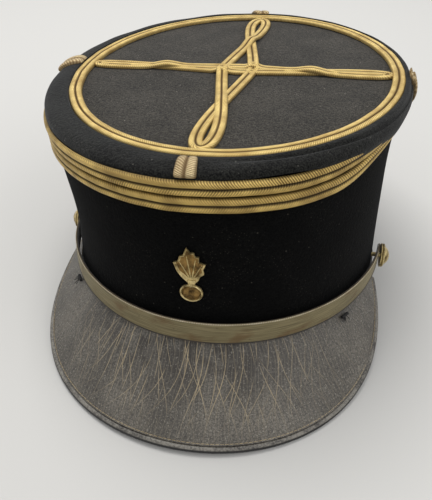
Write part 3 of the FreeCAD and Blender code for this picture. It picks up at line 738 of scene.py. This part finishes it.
# %% How far the roll has slumped, and its ovals
ROLL_INNER = (86.9, 101.8, -1.5, 10.4)
ROLL_OUTER = (95.4, 111.95, -5.1, 6.35)
ROLL_RISE = 5.0
ROUND = 0.85  # below 1, the roll's shoulder is fuller than a circle's
SLUMP = 9.0


def hill(turn, start, top, finish, end):
    """0 before start, 1 from top to finish, 0 after end, all in degrees round the cap."""
    angle = math.degrees(turn)
    return smooth(angle, start, top) * smooth(-angle, -end, -finish)


def roll_oval(share):
    return tuple(a + (b - a) * share for a, b in zip(ROLL_INNER, ROLL_OUTER))


def roll_place(turn, share, height):
    """A point of the roll: its share from seam to edge, and its height over the side."""
    slump = hill(turn, 24, 64, 130, 172)
    crease = 1.7 * hill(turn, 4, 30, 120, 165) * bell(share, 0.34 + 0.3 * slump, 0.09)
    trim = 1.3 * hill(turn, -110, -50, 20, 50) * share ** 4
    puff = drift(turn, 5, share * 2)
    swell = 1.25 * share * (1 - share) * (1 + puff) if height > 0.6 else 0.0
    hem = share ** 5 * (1 - height / ROLL_RISE)  # 1 at the outer edge's foot
    drop = SLUMP * slump * share ** 4 * (0.3 + 0.7 * hem)
    out = 0.5 * puff * share - 4.6 * slump * hem ** 2 - trim
    level = SIDE_HIGH + height - crease - drop + swell + trim * 0.2
    return on_oval(roll_oval(share), level, turn, out)


def roll_height(angle):
    """The section's height, from its top (0) down to its outer edge (a quarter turn)."""
    return ROLL_RISE * (0.04 + 0.96 * math.cos(angle) ** 0.8)


# %% Roll
ROLL_STEPS = 30
arc = [math.pi / 2 * step / ROLL_STEPS for step in range(ROLL_STEPS + 1)]
skin = [(math.sin(a) ** ROUND, roll_height(a)) for a in arc]
skin[0] = (0.0, ROLL_RISE * 0.5)  # tucked in under the ring of braid
under = [(share * 0.9, max(height - CLOTH, 0.2)) for share, height in skin[::-3]]
roll_mesh = bend(spin_section(measured(skin + under), 240), roll_place)
roll = keep("wool_roll", roll_mesh, WOOL_ROLL_PAINTED_HALF_LIT, "black_wool", ["roll_cloth"])

stuffing = [(0.05 + 0.82 * share, max(height - CLOTH - 0.5, 0.4)) for share, height in skin[::3]]
stuffing += [(0.8, 0.15), (0.4, 0.15), (0.06, 0.15)]
wadding_mesh = bend(spin_section(measured(stuffing), 120), roll_place)
wadding = keep("roll_stuffing", wadding_mesh, FINISHES["wadding"], "wadding", ["roll_wadding"])

# %% [markdown]
# ## Soutache round the crown and the side
#
# Every braid has the same section: two cords side by side, so two round lobes with a groove,
# over a flat back. The section is written as a formula, and its own width is the map's second
# number, so that the finish knows the ridges from the groove.

# %% The section of a braid
LOBE_POINTS = 14
HALF_BRAID = 2.6  # half the braid's width, in the map


def lobes(width, height, groove=0.5):
    """Section rows (across, up, map) of a two-ridged braid, from one edge to the other."""
    rows = [(-width / 2, 0.0, -HALF_BRAID)]
    for step in range(LOBE_POINTS + 1):
        share = 2 * step / LOBE_POINTS - 1
        bulge = math.sqrt(max(1 - (2 * abs(share) - 1) ** 2, 0))
        level = height * (groove + (1 - groove) * bulge)
        rows.append((share * width / 2, level, share * HALF_BRAID))
    rows.append((width / 2, 0.0, HALF_BRAID))
    return rows


def wobble(turn, size, seed):
    return size * drift(turn, 9, seed)


# %% The ring
SOUTACHE_WIDE, SOUTACHE_HIGH = 6.5, 2.1


def ring_place(turn, out, up):
    return on_oval(RING, RING_LEVEL, turn, out + wobble(turn, 0.25, 4.0), up)


ring_mesh = bend(spin_section(lobes(SOUTACHE_WIDE, SOUTACHE_HIGH), 420), ring_place)
ring = keep("soutache_ring", ring_mesh, GOLD_CROWN, "gold_braid", ["crown_ring_braid"])

# %% [markdown]
# Both side braids lie flat in front, and hang a little lower on the wearer's right, where the
# side bows out. Towards the left they climb, draw together and vanish under the slumped roll,
# and come out again behind it.

# %% The side braids
# The middle's level, the climb, and the turns in degrees where the climb starts and ends.
SIDE_BRAIDS = {"upper": (89.0, 2.4, 32, 68), "lower": (80.6, 8.2, 42, 70)}
BRAID_OFF = 0.25
SIDE_BRAID_WIDE, SIDE_BRAID_HIGH = 7.6, 1.9


def side_braid_place(middle, climb, start, top):
    def place(turn, up, out):
        raised = hill(turn, start, top, 150, 176)
        sag = 2.6 * hill(turn, -150, -95, -85, -20) + 1.5 * hill(turn, 5, 34, 40, 60)
        level = middle + up * (1 - 0.4 * raised) + climb * raised - sag + wobble(turn, 0.3, middle)
        return on_oval(side_oval(level), level, turn, out + BRAID_OFF + belly(turn, level) * 0.97)
    return place


for name, course in SIDE_BRAIDS.items():
    flat_braid = spin_section(lobes(SIDE_BRAID_WIDE, SIDE_BRAID_HIGH, 0.35), 420)
    mesh = bend(flat_braid, side_braid_place(*course))
    keep(f"soutache_{name}", mesh, GOLD_SIDE, "gold_braid", [f"side_braid_{name}"])

# %% [markdown]
# ## The knot
#
# The knot is two closed loops of soutache, one across the crown and one from front to back.
# Each loop runs out along one arm, round its tip and back, and its two strands cross half way,
# one over the other. In the middle the loops weave over and under like a small fence. A loop
# is a formula of one angle: how far along the arm, how far aside, and how much it is lifted.
# The spun hoop gives the mesh, and the formula gives its place.

# %% One loop of the knot
CROSSING = 0.5  # the share of an arm where its strands cross
LIFT = 1.75
STRAND_WIDE, STRAND_HIGH = 6.3, 1.6


def aside(share, start, tip):
    """Half the gap between an arm's strands: start in the middle, 0 half way, then crossed."""
    curve = (CROSSING * (tip + start) - start) / (CROSSING ** 2 - CROSSING)
    return start + (-tip - start - curve) * share + curve * share ** 2


def knot_loop(reach, start, tips, over_at):
    """A function from an angle to a place on the loop and its lift. One strand passes over
    the other loop at over_at, and the other strand at -over_at."""
    def at(angle):
        along, side = math.cos(angle), math.sin(angle)
        gap = aside(abs(along), start, tips[0] if along > 0 else tips[1])
        spot = Vector((along * reach, side * gap))
        sign = 1 if side > 0 else -1
        lift = LIFT * bell(spot.x, sign * over_at, 3.2)
        if side > 0:
            lift += LIFT * bell(abs(spot.x), CROSSING * reach, 7.5)
        return spot, lift
    return at


def knot_mesh(at, turned, steps=420):
    """Carries a braid's section along a loop that lies on the crown."""
    lengths = [0.0]
    for step in range(steps):
        first = at(2 * math.pi * step / steps)[0]
        lengths.append(lengths[-1] + (at(2 * math.pi * (step + 1) / steps)[0] - first).length)
    plane = section(RING_LEVEL, RING[2], RING[3]) @ Matrix.Rotation(turned, 4, "Z")

    def along(turn):
        """The length so far. Turns come as whole steps, and the last one is the whole loop."""
        whole = turn > 2 * math.pi - 0.01
        share = turn % (2 * math.pi) / (2 * math.pi)
        return lengths[-1] if whole else lengths[round(share * steps)]

    def place(turn, across, up):
        spot, lift = at(turn)
        run = (at(turn + 0.004)[0] - at(turn - 0.004)[0]).normalized()
        edge = spot + Vector((-run.y, run.x)) * across
        return plane @ Vector((edge.x, edge.y, up + lift))

    return bend(spin_section(lobes(STRAND_WIDE, STRAND_HIGH), steps), place, along)


ACROSS = knot_loop(78.6, 3.6, (7.0, 5.0), 8.0)
LENGTHWAYS = knot_loop(93.0, 8.4, (12.5, 11.0), -3.6)
keep("knot_across", knot_mesh(ACROSS, 0.0), GOLD_CROWN, "gold_braid", ["crown_knot_braid"])
keep("knot_lengthways", knot_mesh(LENGTHWAYS, math.pi / 2), GOLD_CROWN, "gold_braid")

# %% [markdown]
# ## The tabs over the roll
#
# A short doubled end of wider braid is sewn over the roll in front, behind and at each side. It
# follows the roll's own surface. Its ends are tucked in, so the section shrinks there.

# %% Tabs
TAB_STEPS = 22
TAB_SPAN = 1.0  # radians of hoop that stand for the tab's whole length


def tab_place(turn, skew, first, last):
    """Carries a section over the roll from one share to another, at one side of the cap."""
    def place(run, across, up):
        step = min(max(run / TAB_SPAN, 0), 1)
        share = first + (last - first) * math.sin(step * math.pi / 2) ** 0.9
        height = roll_height(math.asin(min(share, 1.0) ** (1 / ROUND)))
        squeeze = 1 - 0.2 * abs(2 * step - 1) ** 6
        away = turn + skew * (share - 0.5) + across * squeeze / AROUND
        near = roll_place(away, share, height)
        outward = (near - roll_place(away, 0.5, -2.0)).normalized()
        tuck = 1 - abs(2 * step - 1) ** 8
        return near + outward * (0.1 + up * (0.25 + 0.75 * tuck))
    return place


# Turn, width, height, skew, and the shares of the roll between which the tab lies.
TABS = {"front": (0.0, 8.8, 2.1, 0.055, 0.24, 0.995),
        "back": (math.pi, 10.5, 1.9, 0, 0.1, 0.995),
        "left": (math.pi / 2, 9.5, 3.8, 0, 0.4, 0.98),
        "right": (-math.pi / 2, 9.5, 2.2, 0, 0.08, 0.995)}
for name, (turn, wide, high, skew, first, last) in TABS.items():
    mesh = spin_section(lobes(wide, high, 0.6), TAB_STEPS, 0.0, TAB_SPAN)
    bend(mesh, tab_place(turn, skew, first, last), lambda run: run * 14.0)
    keep(f"tab_{name}", mesh, GOLD_TAB, "gold_braid", [f"tab_braid_{name}"])

# %% [markdown]
# ## The peak
#
# The peak is leather over board, sloping down from the side's lower edge. A point on it is an
# angle round the cap and a distance down the slope. Its upper leather is a closed section that
# is spun through the peak's own angle and bent to that slope, and a slightly wavy face keeps it
# from looking like a machined part.

# %% The slope and the outline of the peak
PEAK_LONG = 49.4
SLOPE = math.radians(51.2)
PEAK_HALF = math.radians(78.9)
PEAK_END = 0.965 * PEAK_HALF
PEAK_ROOT = 2.0
ROOT_OFF = 0.8
RIM = 3.4
UPPER, WHOLE = 1.1, 3.3


def round_the_front(angle, out):
    """A point outside the lower edge, and the outward direction there."""
    outward = Vector((math.sin(angle) * BASE_LONG, -math.cos(angle) * BASE_WIDE, 0)).normalized()
    edge = Vector((BASE_WIDE * math.sin(angle), -BASE_LONG * math.cos(angle), 0))
    return edge + outward * out, outward


def peak_reach(angle):
    share = angle / PEAK_HALF
    return PEAK_LONG * math.sqrt(1 - share ** 2) * (1 + 0.28 * share ** 2 - 0.95 * share ** 4)


def peak_point(angle, along, depth):
    root, outward = round_the_front(angle, ROOT_OFF)
    down = outward * math.cos(SLOPE) - Vector((0, 0, math.sin(SLOPE)))
    up = outward * math.sin(SLOPE) + Vector((0, 0, math.cos(SLOPE)))
    return root + Vector((0, 0, PEAK_ROOT)) + down * along - up * depth


# %% Upper leather
def upper_place(angle, share, height):
    depth = -height
    edge = peak_reach(angle) - RIM - 0.25
    start = depth * math.tan(SLOPE)
    along = start + (edge - start) * share
    if depth < 0.1:  # the upper face has a soft wave, and a groove for the stitches
        depth += 0.2 - 0.35 * noise.noise(Vector((angle * 7, along * 0.05, 2.0)))
        depth += 0.35 * bell(along, edge - 1.0, 0.45)
    return peak_point(angle, along, depth)


PEAK_ROWS = 44
shares = [(step / PEAK_ROWS) ** 0.8 for step in range(PEAK_ROWS + 1)]
rows = [(share, 0.0, share * PEAK_LONG) for share in shares]
rows += [(share, -UPPER, share * PEAK_LONG) for share in shares[::-6]]
peak_mesh = spin_section(rows, 170, -PEAK_END, 2 * PEAK_END)
keep("peak_upper", bend(peak_mesh, upper_place), PEAK_LEATHER, "peak_leather",
     ["peak_upper_leather"])

# %% [markdown]
# The edge is bound with a strip of leather that wraps the whole thickness. Its section is a
# flattened ring, and a row of short stitches runs along its inner side.

# %% Bound edge
RIM_SIDES = 16


def rim_place(angle, out, up):
    return peak_point(angle, peak_reach(angle) - RIM / 2 + out, WHOLE / 2 - up)


angles = [2 * math.pi * side / RIM_SIDES for side in range(RIM_SIDES)]
section_points = [(1.7 * math.cos(a), 1.62 * math.sin(a)) for a in angles]
rim_mesh = spin_section(measured(section_points), 190, -PEAK_END, 2 * PEAK_END)
keep("peak_rim", bend(rim_mesh, rim_place), FINISHES["rim_leather"], "rim_leather",
     ["peak_rim_binding"])

# %% Stitches along the bound edge
STITCH_LONG = 1.7
STITCH_GAP = 2.2


def pointing(run):
    """A turn that sets a piece's Z along a direction."""
    return run.to_track_quat("Z", "Y").to_matrix().to_4x4()


def seam(name, spots, thick):
    """A row of stitches: a short bar at each (place, direction), joined in one piece."""
    row = bmesh.new()
    for spot, run in spots:
        made = bmesh.ops.create_cone(row, cap_ends=True, segments=6, radius1=thick,
                                     radius2=thick, depth=STITCH_LONG)
        place = Matrix.Translation(spot) @ pointing(run)
        bmesh.ops.transform(row, matrix=place, verts=made["verts"])
    keep(name, row, THREAD_TAN, "black_thread")


def edge_spots(inset, depth):
    """Places and directions a stitch apart, along the peak's edge."""
    spots, angle = [], -PEAK_END * 0.985
    while angle < PEAK_END * 0.985:
        here = peak_point(angle, peak_reach(angle) - inset, depth)
        run = peak_point(angle + 0.01, peak_reach(angle + 0.01) - inset, depth) - here
        spots.append((here, run.normalized()))
        angle += STITCH_GAP * 0.01 / run.length
    return spots


seam("peak_stitches", edge_spots(RIM + 0.9, 0.35), 0.13)

# %% [markdown]
# ## The strap
#
# The strap is a band of lace, a little crowned across, that stands off the cloth. A thin cord
# edges it above and below. It rides on its own body, which swings about the button axis.

# %% Lace band
STRAP_WIDE, STRAP_END_WIDE = 10.7, 8.4
LACE_IN, LACE_THICK = 2.125, 0.5
STRAP_END = math.acos((BUTTON_FORWARD - 5.0) / BASE_LONG)


def strap_width(turn):
    taper = min(abs(turn) / STRAP_END, 1) ** 3
    return STRAP_WIDE * (1 - taper) + STRAP_END_WIDE * taper


def strap_place(turn, out, up):
    crowned = 0.35 * (1 - (2 * up) ** 2) if out > 0.3 else 0.0
    lean = 0.35 * noise.noise(Vector((turn * 3, up, 7.0)))
    spot = round_the_front(turn, LACE_IN + out + crowned + max(lean, 0))[0]
    rise = 0.5 * noise.noise(Vector((turn * 2.5, 3.0, 1.0)))
    return spot + Vector((0, 0, STRAP_MIDDLE + up * strap_width(turn) + rise * 0.6))


across = [step / 10 - 0.5 for step in range(11)]
rows = [(LACE_THICK, up, up * STRAP_WIDE) for up in across]
rows += [(0.0, up, up * STRAP_WIDE) for up in across[::-2]]
strap_mesh = bend(spin_section(rows, 180, -STRAP_END, 2 * STRAP_END), strap_place)
keep("strap_band", strap_mesh, LACE, "gold_lace", ["strap_lace"], "chin_strap")

# %% Edging cords
CORD = 0.42
# The cord takes the braid's finish, so its top and bottom are darkened towards the third colour as painted shade.
GOLD_EDGE = soutache_finish(
    "gold_edging", tint(222, 212, 186), tint(150, 134, 100), tint(96, 76, 46), 0.4)


def edging_place(side):
    def place(turn, out, up):
        spot = strap_place(turn, LACE_THICK / 2, side * 0.5)
        outward = round_the_front(turn, 0)[1]
        return spot + outward * (out + 0.1) + Vector((0, 0, up))
    return place


corners = [2 * math.pi * side / 8 for side in range(8)]
cord_rows = [(CORD * math.cos(a), CORD * math.sin(a), 1.2 * math.cos(a)) for a in corners]
EDGINGS = {"top": (1, GOLD_EDGE, "gold_lace"),
           "foot": (-1, FINISHES["strap_backing"], "strap_backing")}
for name, (side, finish, slot) in EDGINGS.items():
    mesh = bend(spin_section(cord_rows, 180, -STRAP_END, 2 * STRAP_END), edging_place(side))
    keep(f"strap_edging_{name}", mesh, finish, slot, body="chin_strap")

# %% [markdown]
# ## Buttons
#
# A side button is a shallow brass dome with a turned rim and one fine groove. It is a plain
# profile spun about its own axis, then stood on the side of the cap.

# %% Two domed buttons
BUTTON_FACE = 88.15
BUTTON_PROFILE = [(0.0, 0.0), (6.0, 0.0), (6.5, 0.35), (6.55, 0.9), (6.1, 1.3), (5.5, 1.15),
                  (5.2, 1.35), (4.6, 2.2), (3.6, 3.1), (2.4, 3.8), (1.2, 4.1), (0.0, 4.2)]


def turned(profile, steps=40):
    """A solid turned on a lathe: a profile (radius, height) spun about Z."""
    mesh = bmesh.new()
    line = [mesh.verts.new((radius, 0, height)) for radius, height in profile]
    edges = [mesh.edges.new(pair) for pair in zip(line, line[1:])]
    bmesh.ops.spin(mesh, geom=line + edges, cent=(0, 0, 0), axis=(0, 0, 1),
                   angle=2 * math.pi, steps=steps, use_merge=True)
    bmesh.ops.remove_doubles(mesh, verts=mesh.verts, dist=1e-5)
    bmesh.ops.recalc_face_normals(mesh, faces=mesh.faces)
    return mesh


for name, sign in (("left", 1), ("right", -1)):
    mesh = turned(BUTTON_PROFILE)
    stand = Matrix.Translation((sign * BUTTON_FACE, -BUTTON_FORWARD, STRAP_MIDDLE))
    stand = stand @ Matrix.Rotation(sign * math.pi / 2, 4, "Y")
    bmesh.ops.transform(mesh, matrix=stand, verts=mesh.verts)
    keep(f"button_dome_{name}", mesh, FINISHES["brass"], "brass",
         [f"button_{name}_face"], f"button_{name}")

# %% [markdown]
# ## The badge
#
# The badge is a flaming ball stamped in brass. The flame is a leaf with a notched edge, which
# leans a little to one side, with veins that fan up from its foot. One polygon is extruded to a
# plate. Insetting its face leaves a raised outline standing, and the veins are thin cones laid
# on it, with a darker field between them. The ball is turned, with a rim and a rough, darker
# face, and a short turned neck joins it to the flame.

# %% Flame
BADGE_BACK = 102.11
BADGE_FOOT = 24.8
BALL = 4.9
SHEET = 0.9
LEAF = [(-4.6, 1.8), (-6.6, 4.6), (-8.2, 8.7), (-6.3, 9.2), (-5.5, 12.2), (-4.0, 12.6),
        (-2.6, 16.6), (-0.7, 14.3), (0.8, 14.4), (1.5, 12.5), (3.1, 12.5), (3.2, 10.0),
        (6.1, 9.1), (5.0, 6.6), (5.5, 4.4), (3.7, 2.7), (3.2, 1.0)]
VEINS = [(-50, 8.6), (-31, 12.2), (-11, 14.6), (8, 12.6), (27, 11.4), (46, 8.2)]  # angle and length
BADGE_SPOT = Matrix.Translation((0, -BADGE_BACK, BADGE_FOOT))
STAND_BADGE = BADGE_SPOT @ Matrix.Rotation(math.pi / 2, 4, "X")
FLAME_FOOT = Vector((0, 2.15 * BALL, 0))


def polar(degrees, length):
    return Vector((math.sin(math.radians(degrees)), math.cos(math.radians(degrees)), 0)) * length


def plate(points, thick):
    """A flat plate cut to an outline. Returns its mesh and its front face."""
    mesh = bmesh.new()
    face = mesh.faces.new([mesh.verts.new(point) for point in points])
    raised = bmesh.ops.extrude_face_region(mesh, geom=[face])["geom"]
    high = [item for item in raised if isinstance(item, bmesh.types.BMVert)]
    bmesh.ops.translate(mesh, vec=(0, 0, thick), verts=high)
    bmesh.ops.recalc_face_normals(mesh, faces=mesh.faces)
    return mesh, [item for item in raised if isinstance(item, bmesh.types.BMFace)]


outline = [FLAME_FOOT + Vector((x, y, 0)) for x, y in [(-1.9, -0.6), *LEAF, (1.9, -0.6)]]
flame, front = plate(outline, SHEET)
bmesh.ops.inset_region(flame, faces=front, thickness=0.5, depth=-SHEET / 2)
for angle, length in VEINS:
    vein = bmesh.ops.create_cone(flame, cap_ends=True, segments=8, radius1=0.5, radius2=0.14,
                                 depth=length * 0.85)
    spot = Matrix.Translation(FLAME_FOOT + polar(angle, length * 0.45) + Vector((0, 0, 0.5)))
    bmesh.ops.transform(flame, matrix=spot @ pointing(polar(angle, 1)), verts=vein["verts"])
bmesh.ops.transform(flame, matrix=STAND_BADGE, verts=flame.verts)
keep("badge_flame", flame, FINISHES["brass"], "brass", ["badge_stamping"])

core = sum(outline, Vector()) / len(outline)
field = plate([core + (point - core) * 0.84 for point in outline], 0.08)[0]
set_in = STAND_BADGE @ Matrix.Translation((0, 0, 0.42))
bmesh.ops.transform(field, matrix=set_in, verts=field.verts)
keep("badge_field", field, DARK_BRASS, "brass")

# %% Ball and neck
BALL_PROFILE = [(0.0, 0.0), (5.2, 0.0), (5.35, 0.6), (5.2, 1.3), (4.8, 1.6), (4.4, 1.35),
                (4.2, 0.7), (0.0, 0.7)]
FACE_PROFILE = [(0.0, 0.75), (4.15, 0.75), (4.1, 0.95), (3.4, 1.3), (2.5, 1.65), (1.4, 1.9),
                (0.0, 2.0)]
NECK_PROFILE = [(0.0, -2.0), (1.5, -2.0), (2.0, -1.2), (1.5, -0.4), (2.2, 0.6), (1.6, 1.6),
                (0.0, 1.6)]
ball, face, neck = turned(BALL_PROFILE), turned(FACE_PROFILE), turned(NECK_PROFILE, 20)
for vert in face.verts:
    if vert.co.z > 0.9:
        vert.co.z += 0.3 * noise.noise(vert.co * 1.6)
squash = Matrix.Translation((0, 0.9 * BALL, 0)) @ Matrix.Diagonal((1, 0.84, 1, 1))
upright = Matrix.Rotation(-math.pi / 2, 4, "X") @ Matrix.Diagonal((1, 0.45, 1, 1))
lie = Matrix.Translation((0, 1.96 * BALL, 0.55)) @ upright
for name, mesh, place, finish in (("badge_ball", ball, squash, FINISHES["brass"]),
                                  ("badge_ball_face", face, squash, DARK_BRASS),
                                  ("badge_neck", neck, lie, FINISHES["brass"])):
    bmesh.ops.transform(mesh, matrix=STAND_BADGE @ place, verts=mesh.verts)
    keep(name, mesh, finish, "brass")

# %% [markdown]
# ## Inside the cap
#
# From below the leather sweatband shows, with the side's lining behind it. Both are soft, so
# each is a thin wall with a gentle wave, and the sweatband has a row of stitches near its lower
# edge. The crown's lining is a stretched disc, like the crown. Last, the size that each sheet of
# cloth was cut to is worked out, a wall by its girths and its slant, a crown as an oval, though
# nothing keeps the result.

# %% Lining and sweatband
LINING_TOP, LINING_IN, LINING = 88.6, 2.7, 0.4
SWEAT_HIGH, SWEAT_IN = 34.0, 5.3


def wavy_wall(name, high, inset, thick, wave, slot, node):
    low = FOOT
    levels = [low + (high - low) * step / 12 for step in range(13)]
    inner = [(-thick, level) for level in levels[::-1]]
    rows = measured([(0.0, level) for level in levels] + inner)

    def place(turn, out, level):
        ripple = wave * drift(turn, 7, level * 0.02)
        fade = math.sin(math.pi * min((level - low) / (high - low) * 0.9 + 0.05, 1))
        return on_oval(side_oval(level), level, turn, out - inset + ripple * fade)

    return keep(name, bend(spin_section(rows, 180), place), FINISHES[slot], slot, [node])


twill = wavy_wall(
    "twill_lining", LINING_TOP, LINING_IN, LINING, 0.12, "lining_cloth", "side_lining")
wavy_wall("leather_sweatband", FOOT + SWEAT_HIGH, SWEAT_IN, 1.0, 0.9, "brown_leather", "sweatband")

# %% Crown lining, and the cut size of each cloth
LID_LEVEL = LINING_TOP + 0.25
LID_RINGS = 22
wide, long, x, y = side_oval(LID_LEVEL)
lid_oval = (wide - LINING_IN, long - LINING_IN, x, y)
lid_shares = [(step / LID_RINGS) ** 0.8 for step in range(LID_RINGS + 1)]
lid_mesh = stretch_disc(disc(lid_shares, LINING, 100), lid_oval, LID_LEVEL, 0.3, LINING)
lid = keep("crown_twill", lid_mesh, FINISHES["lining_cloth"], "lining_cloth", ["crown_lining"])


FLARE_MORE = 1.5  # the wall flares, so its cloth is this much longer than its height


def girth(level, inset):
    """Once round the side at a level, in metres, measured in short steps."""
    spots = [on_oval(side_oval(level), level, step * math.pi / 90, -inset) for step in range(181)]
    return sum((b - a).length for a, b in zip(spots, spots[1:])) * MM


def declare_wall(high, inset):
    """A wall's cloth is cut as a band that widens from its lower to its upper girth."""
    low_girth, high_girth = girth(FOOT, inset), girth(high, inset)
    slant = (high - FOOT + FLARE_MORE) * MM
    (low_girth + high_girth) / 2 * slant


def declare_oval(oval):
    """A crown's cloth is cut as an oval, which fills pi / 4 of its rectangle."""
    width, length = 2 * oval[0] * MM, 2 * oval[1] * MM
    width * length * math.pi / 4


declare_wall(SIDE_HIGH, 0.0)
declare_wall(LINING_TOP, LINING_IN)
declare_oval(RING)
declare_oval(lid_oval)

# %% Stitches of the sweatband
SEAM_LEVEL, SEAM_STITCHES = 5.0, 240
spots = []
for step in range(SEAM_STITCHES):
    turn = 2 * math.pi * step / SEAM_STITCHES
    here, ahead = (on_oval(side_oval(SEAM_LEVEL), SEAM_LEVEL, angle, -SWEAT_IN - 1.05)
                   for angle in (turn, turn + 0.01))
    spots.append((here, (ahead - here).normalized()))
seam("sweatband_stitches", spots, 0.2)

# %% [markdown]
# ## Thread ends
#
# The strap's foot is tacked to the peak with black thread, whose cut ends stick out. Each end
# is a thin strand that starts at the tack and curls away, in a direction drawn from a seeded
# random number so that every run gives the same tuft.

# %% Tufts
TACK_TURN = math.radians(52)
THREAD = 0.22
draw = random.Random(7)


def thread_end(spot, run, curl, length):
    """A strand from a spot: a small section carried along a curling line."""
    side = run.cross(Vector((0, 0, 1))).normalized()
    lift = side.cross(run).normalized()

    def place(step, out, up):
        share = min(max(step, 0), 1)
        bow = curl * math.sin(share * 2.2)
        middle = spot + run * (length * share) + lift * bow + side * (curl * share * share)
        return middle + (side * out + lift * up) * (1 - 0.4 * share)

    corners = [2 * math.pi * corner / 5 for corner in range(5)]
    rows = measured([(THREAD * math.cos(a), THREAD * math.sin(a)) for a in corners])
    return bend(spin_section(rows, 8, 0.0, 1.0), place, lambda step: step * length)


for name, sign in (("left", 1), ("right", -1)):
    tuft = bmesh.new()
    outward = round_the_front(sign * TACK_TURN, 0)[1]
    along = Vector((0, 0, 1)).cross(outward)
    for number in range(7):
        spot = peak_point(sign * TACK_TURN, 3.0 + draw.uniform(-0.6, 0.6), -1.0)
        run = along * draw.uniform(-1, 1) + outward * draw.uniform(0.1, 0.9) - Vector((0, 0, 0.7))
        curl, length = draw.uniform(0.4, 1.4), draw.uniform(2.5, 5.5)
        strand = thread_end(spot, run.normalized(), curl, length)
        part = bpy.data.meshes.new("strand")
        strand.to_mesh(part)
        strand.free()
        tuft.from_mesh(part)
        bpy.data.meshes.remove(part)
    keep(f"thread_tuft_{name}", tuft, FINISHES["black_thread"], "black_thread")
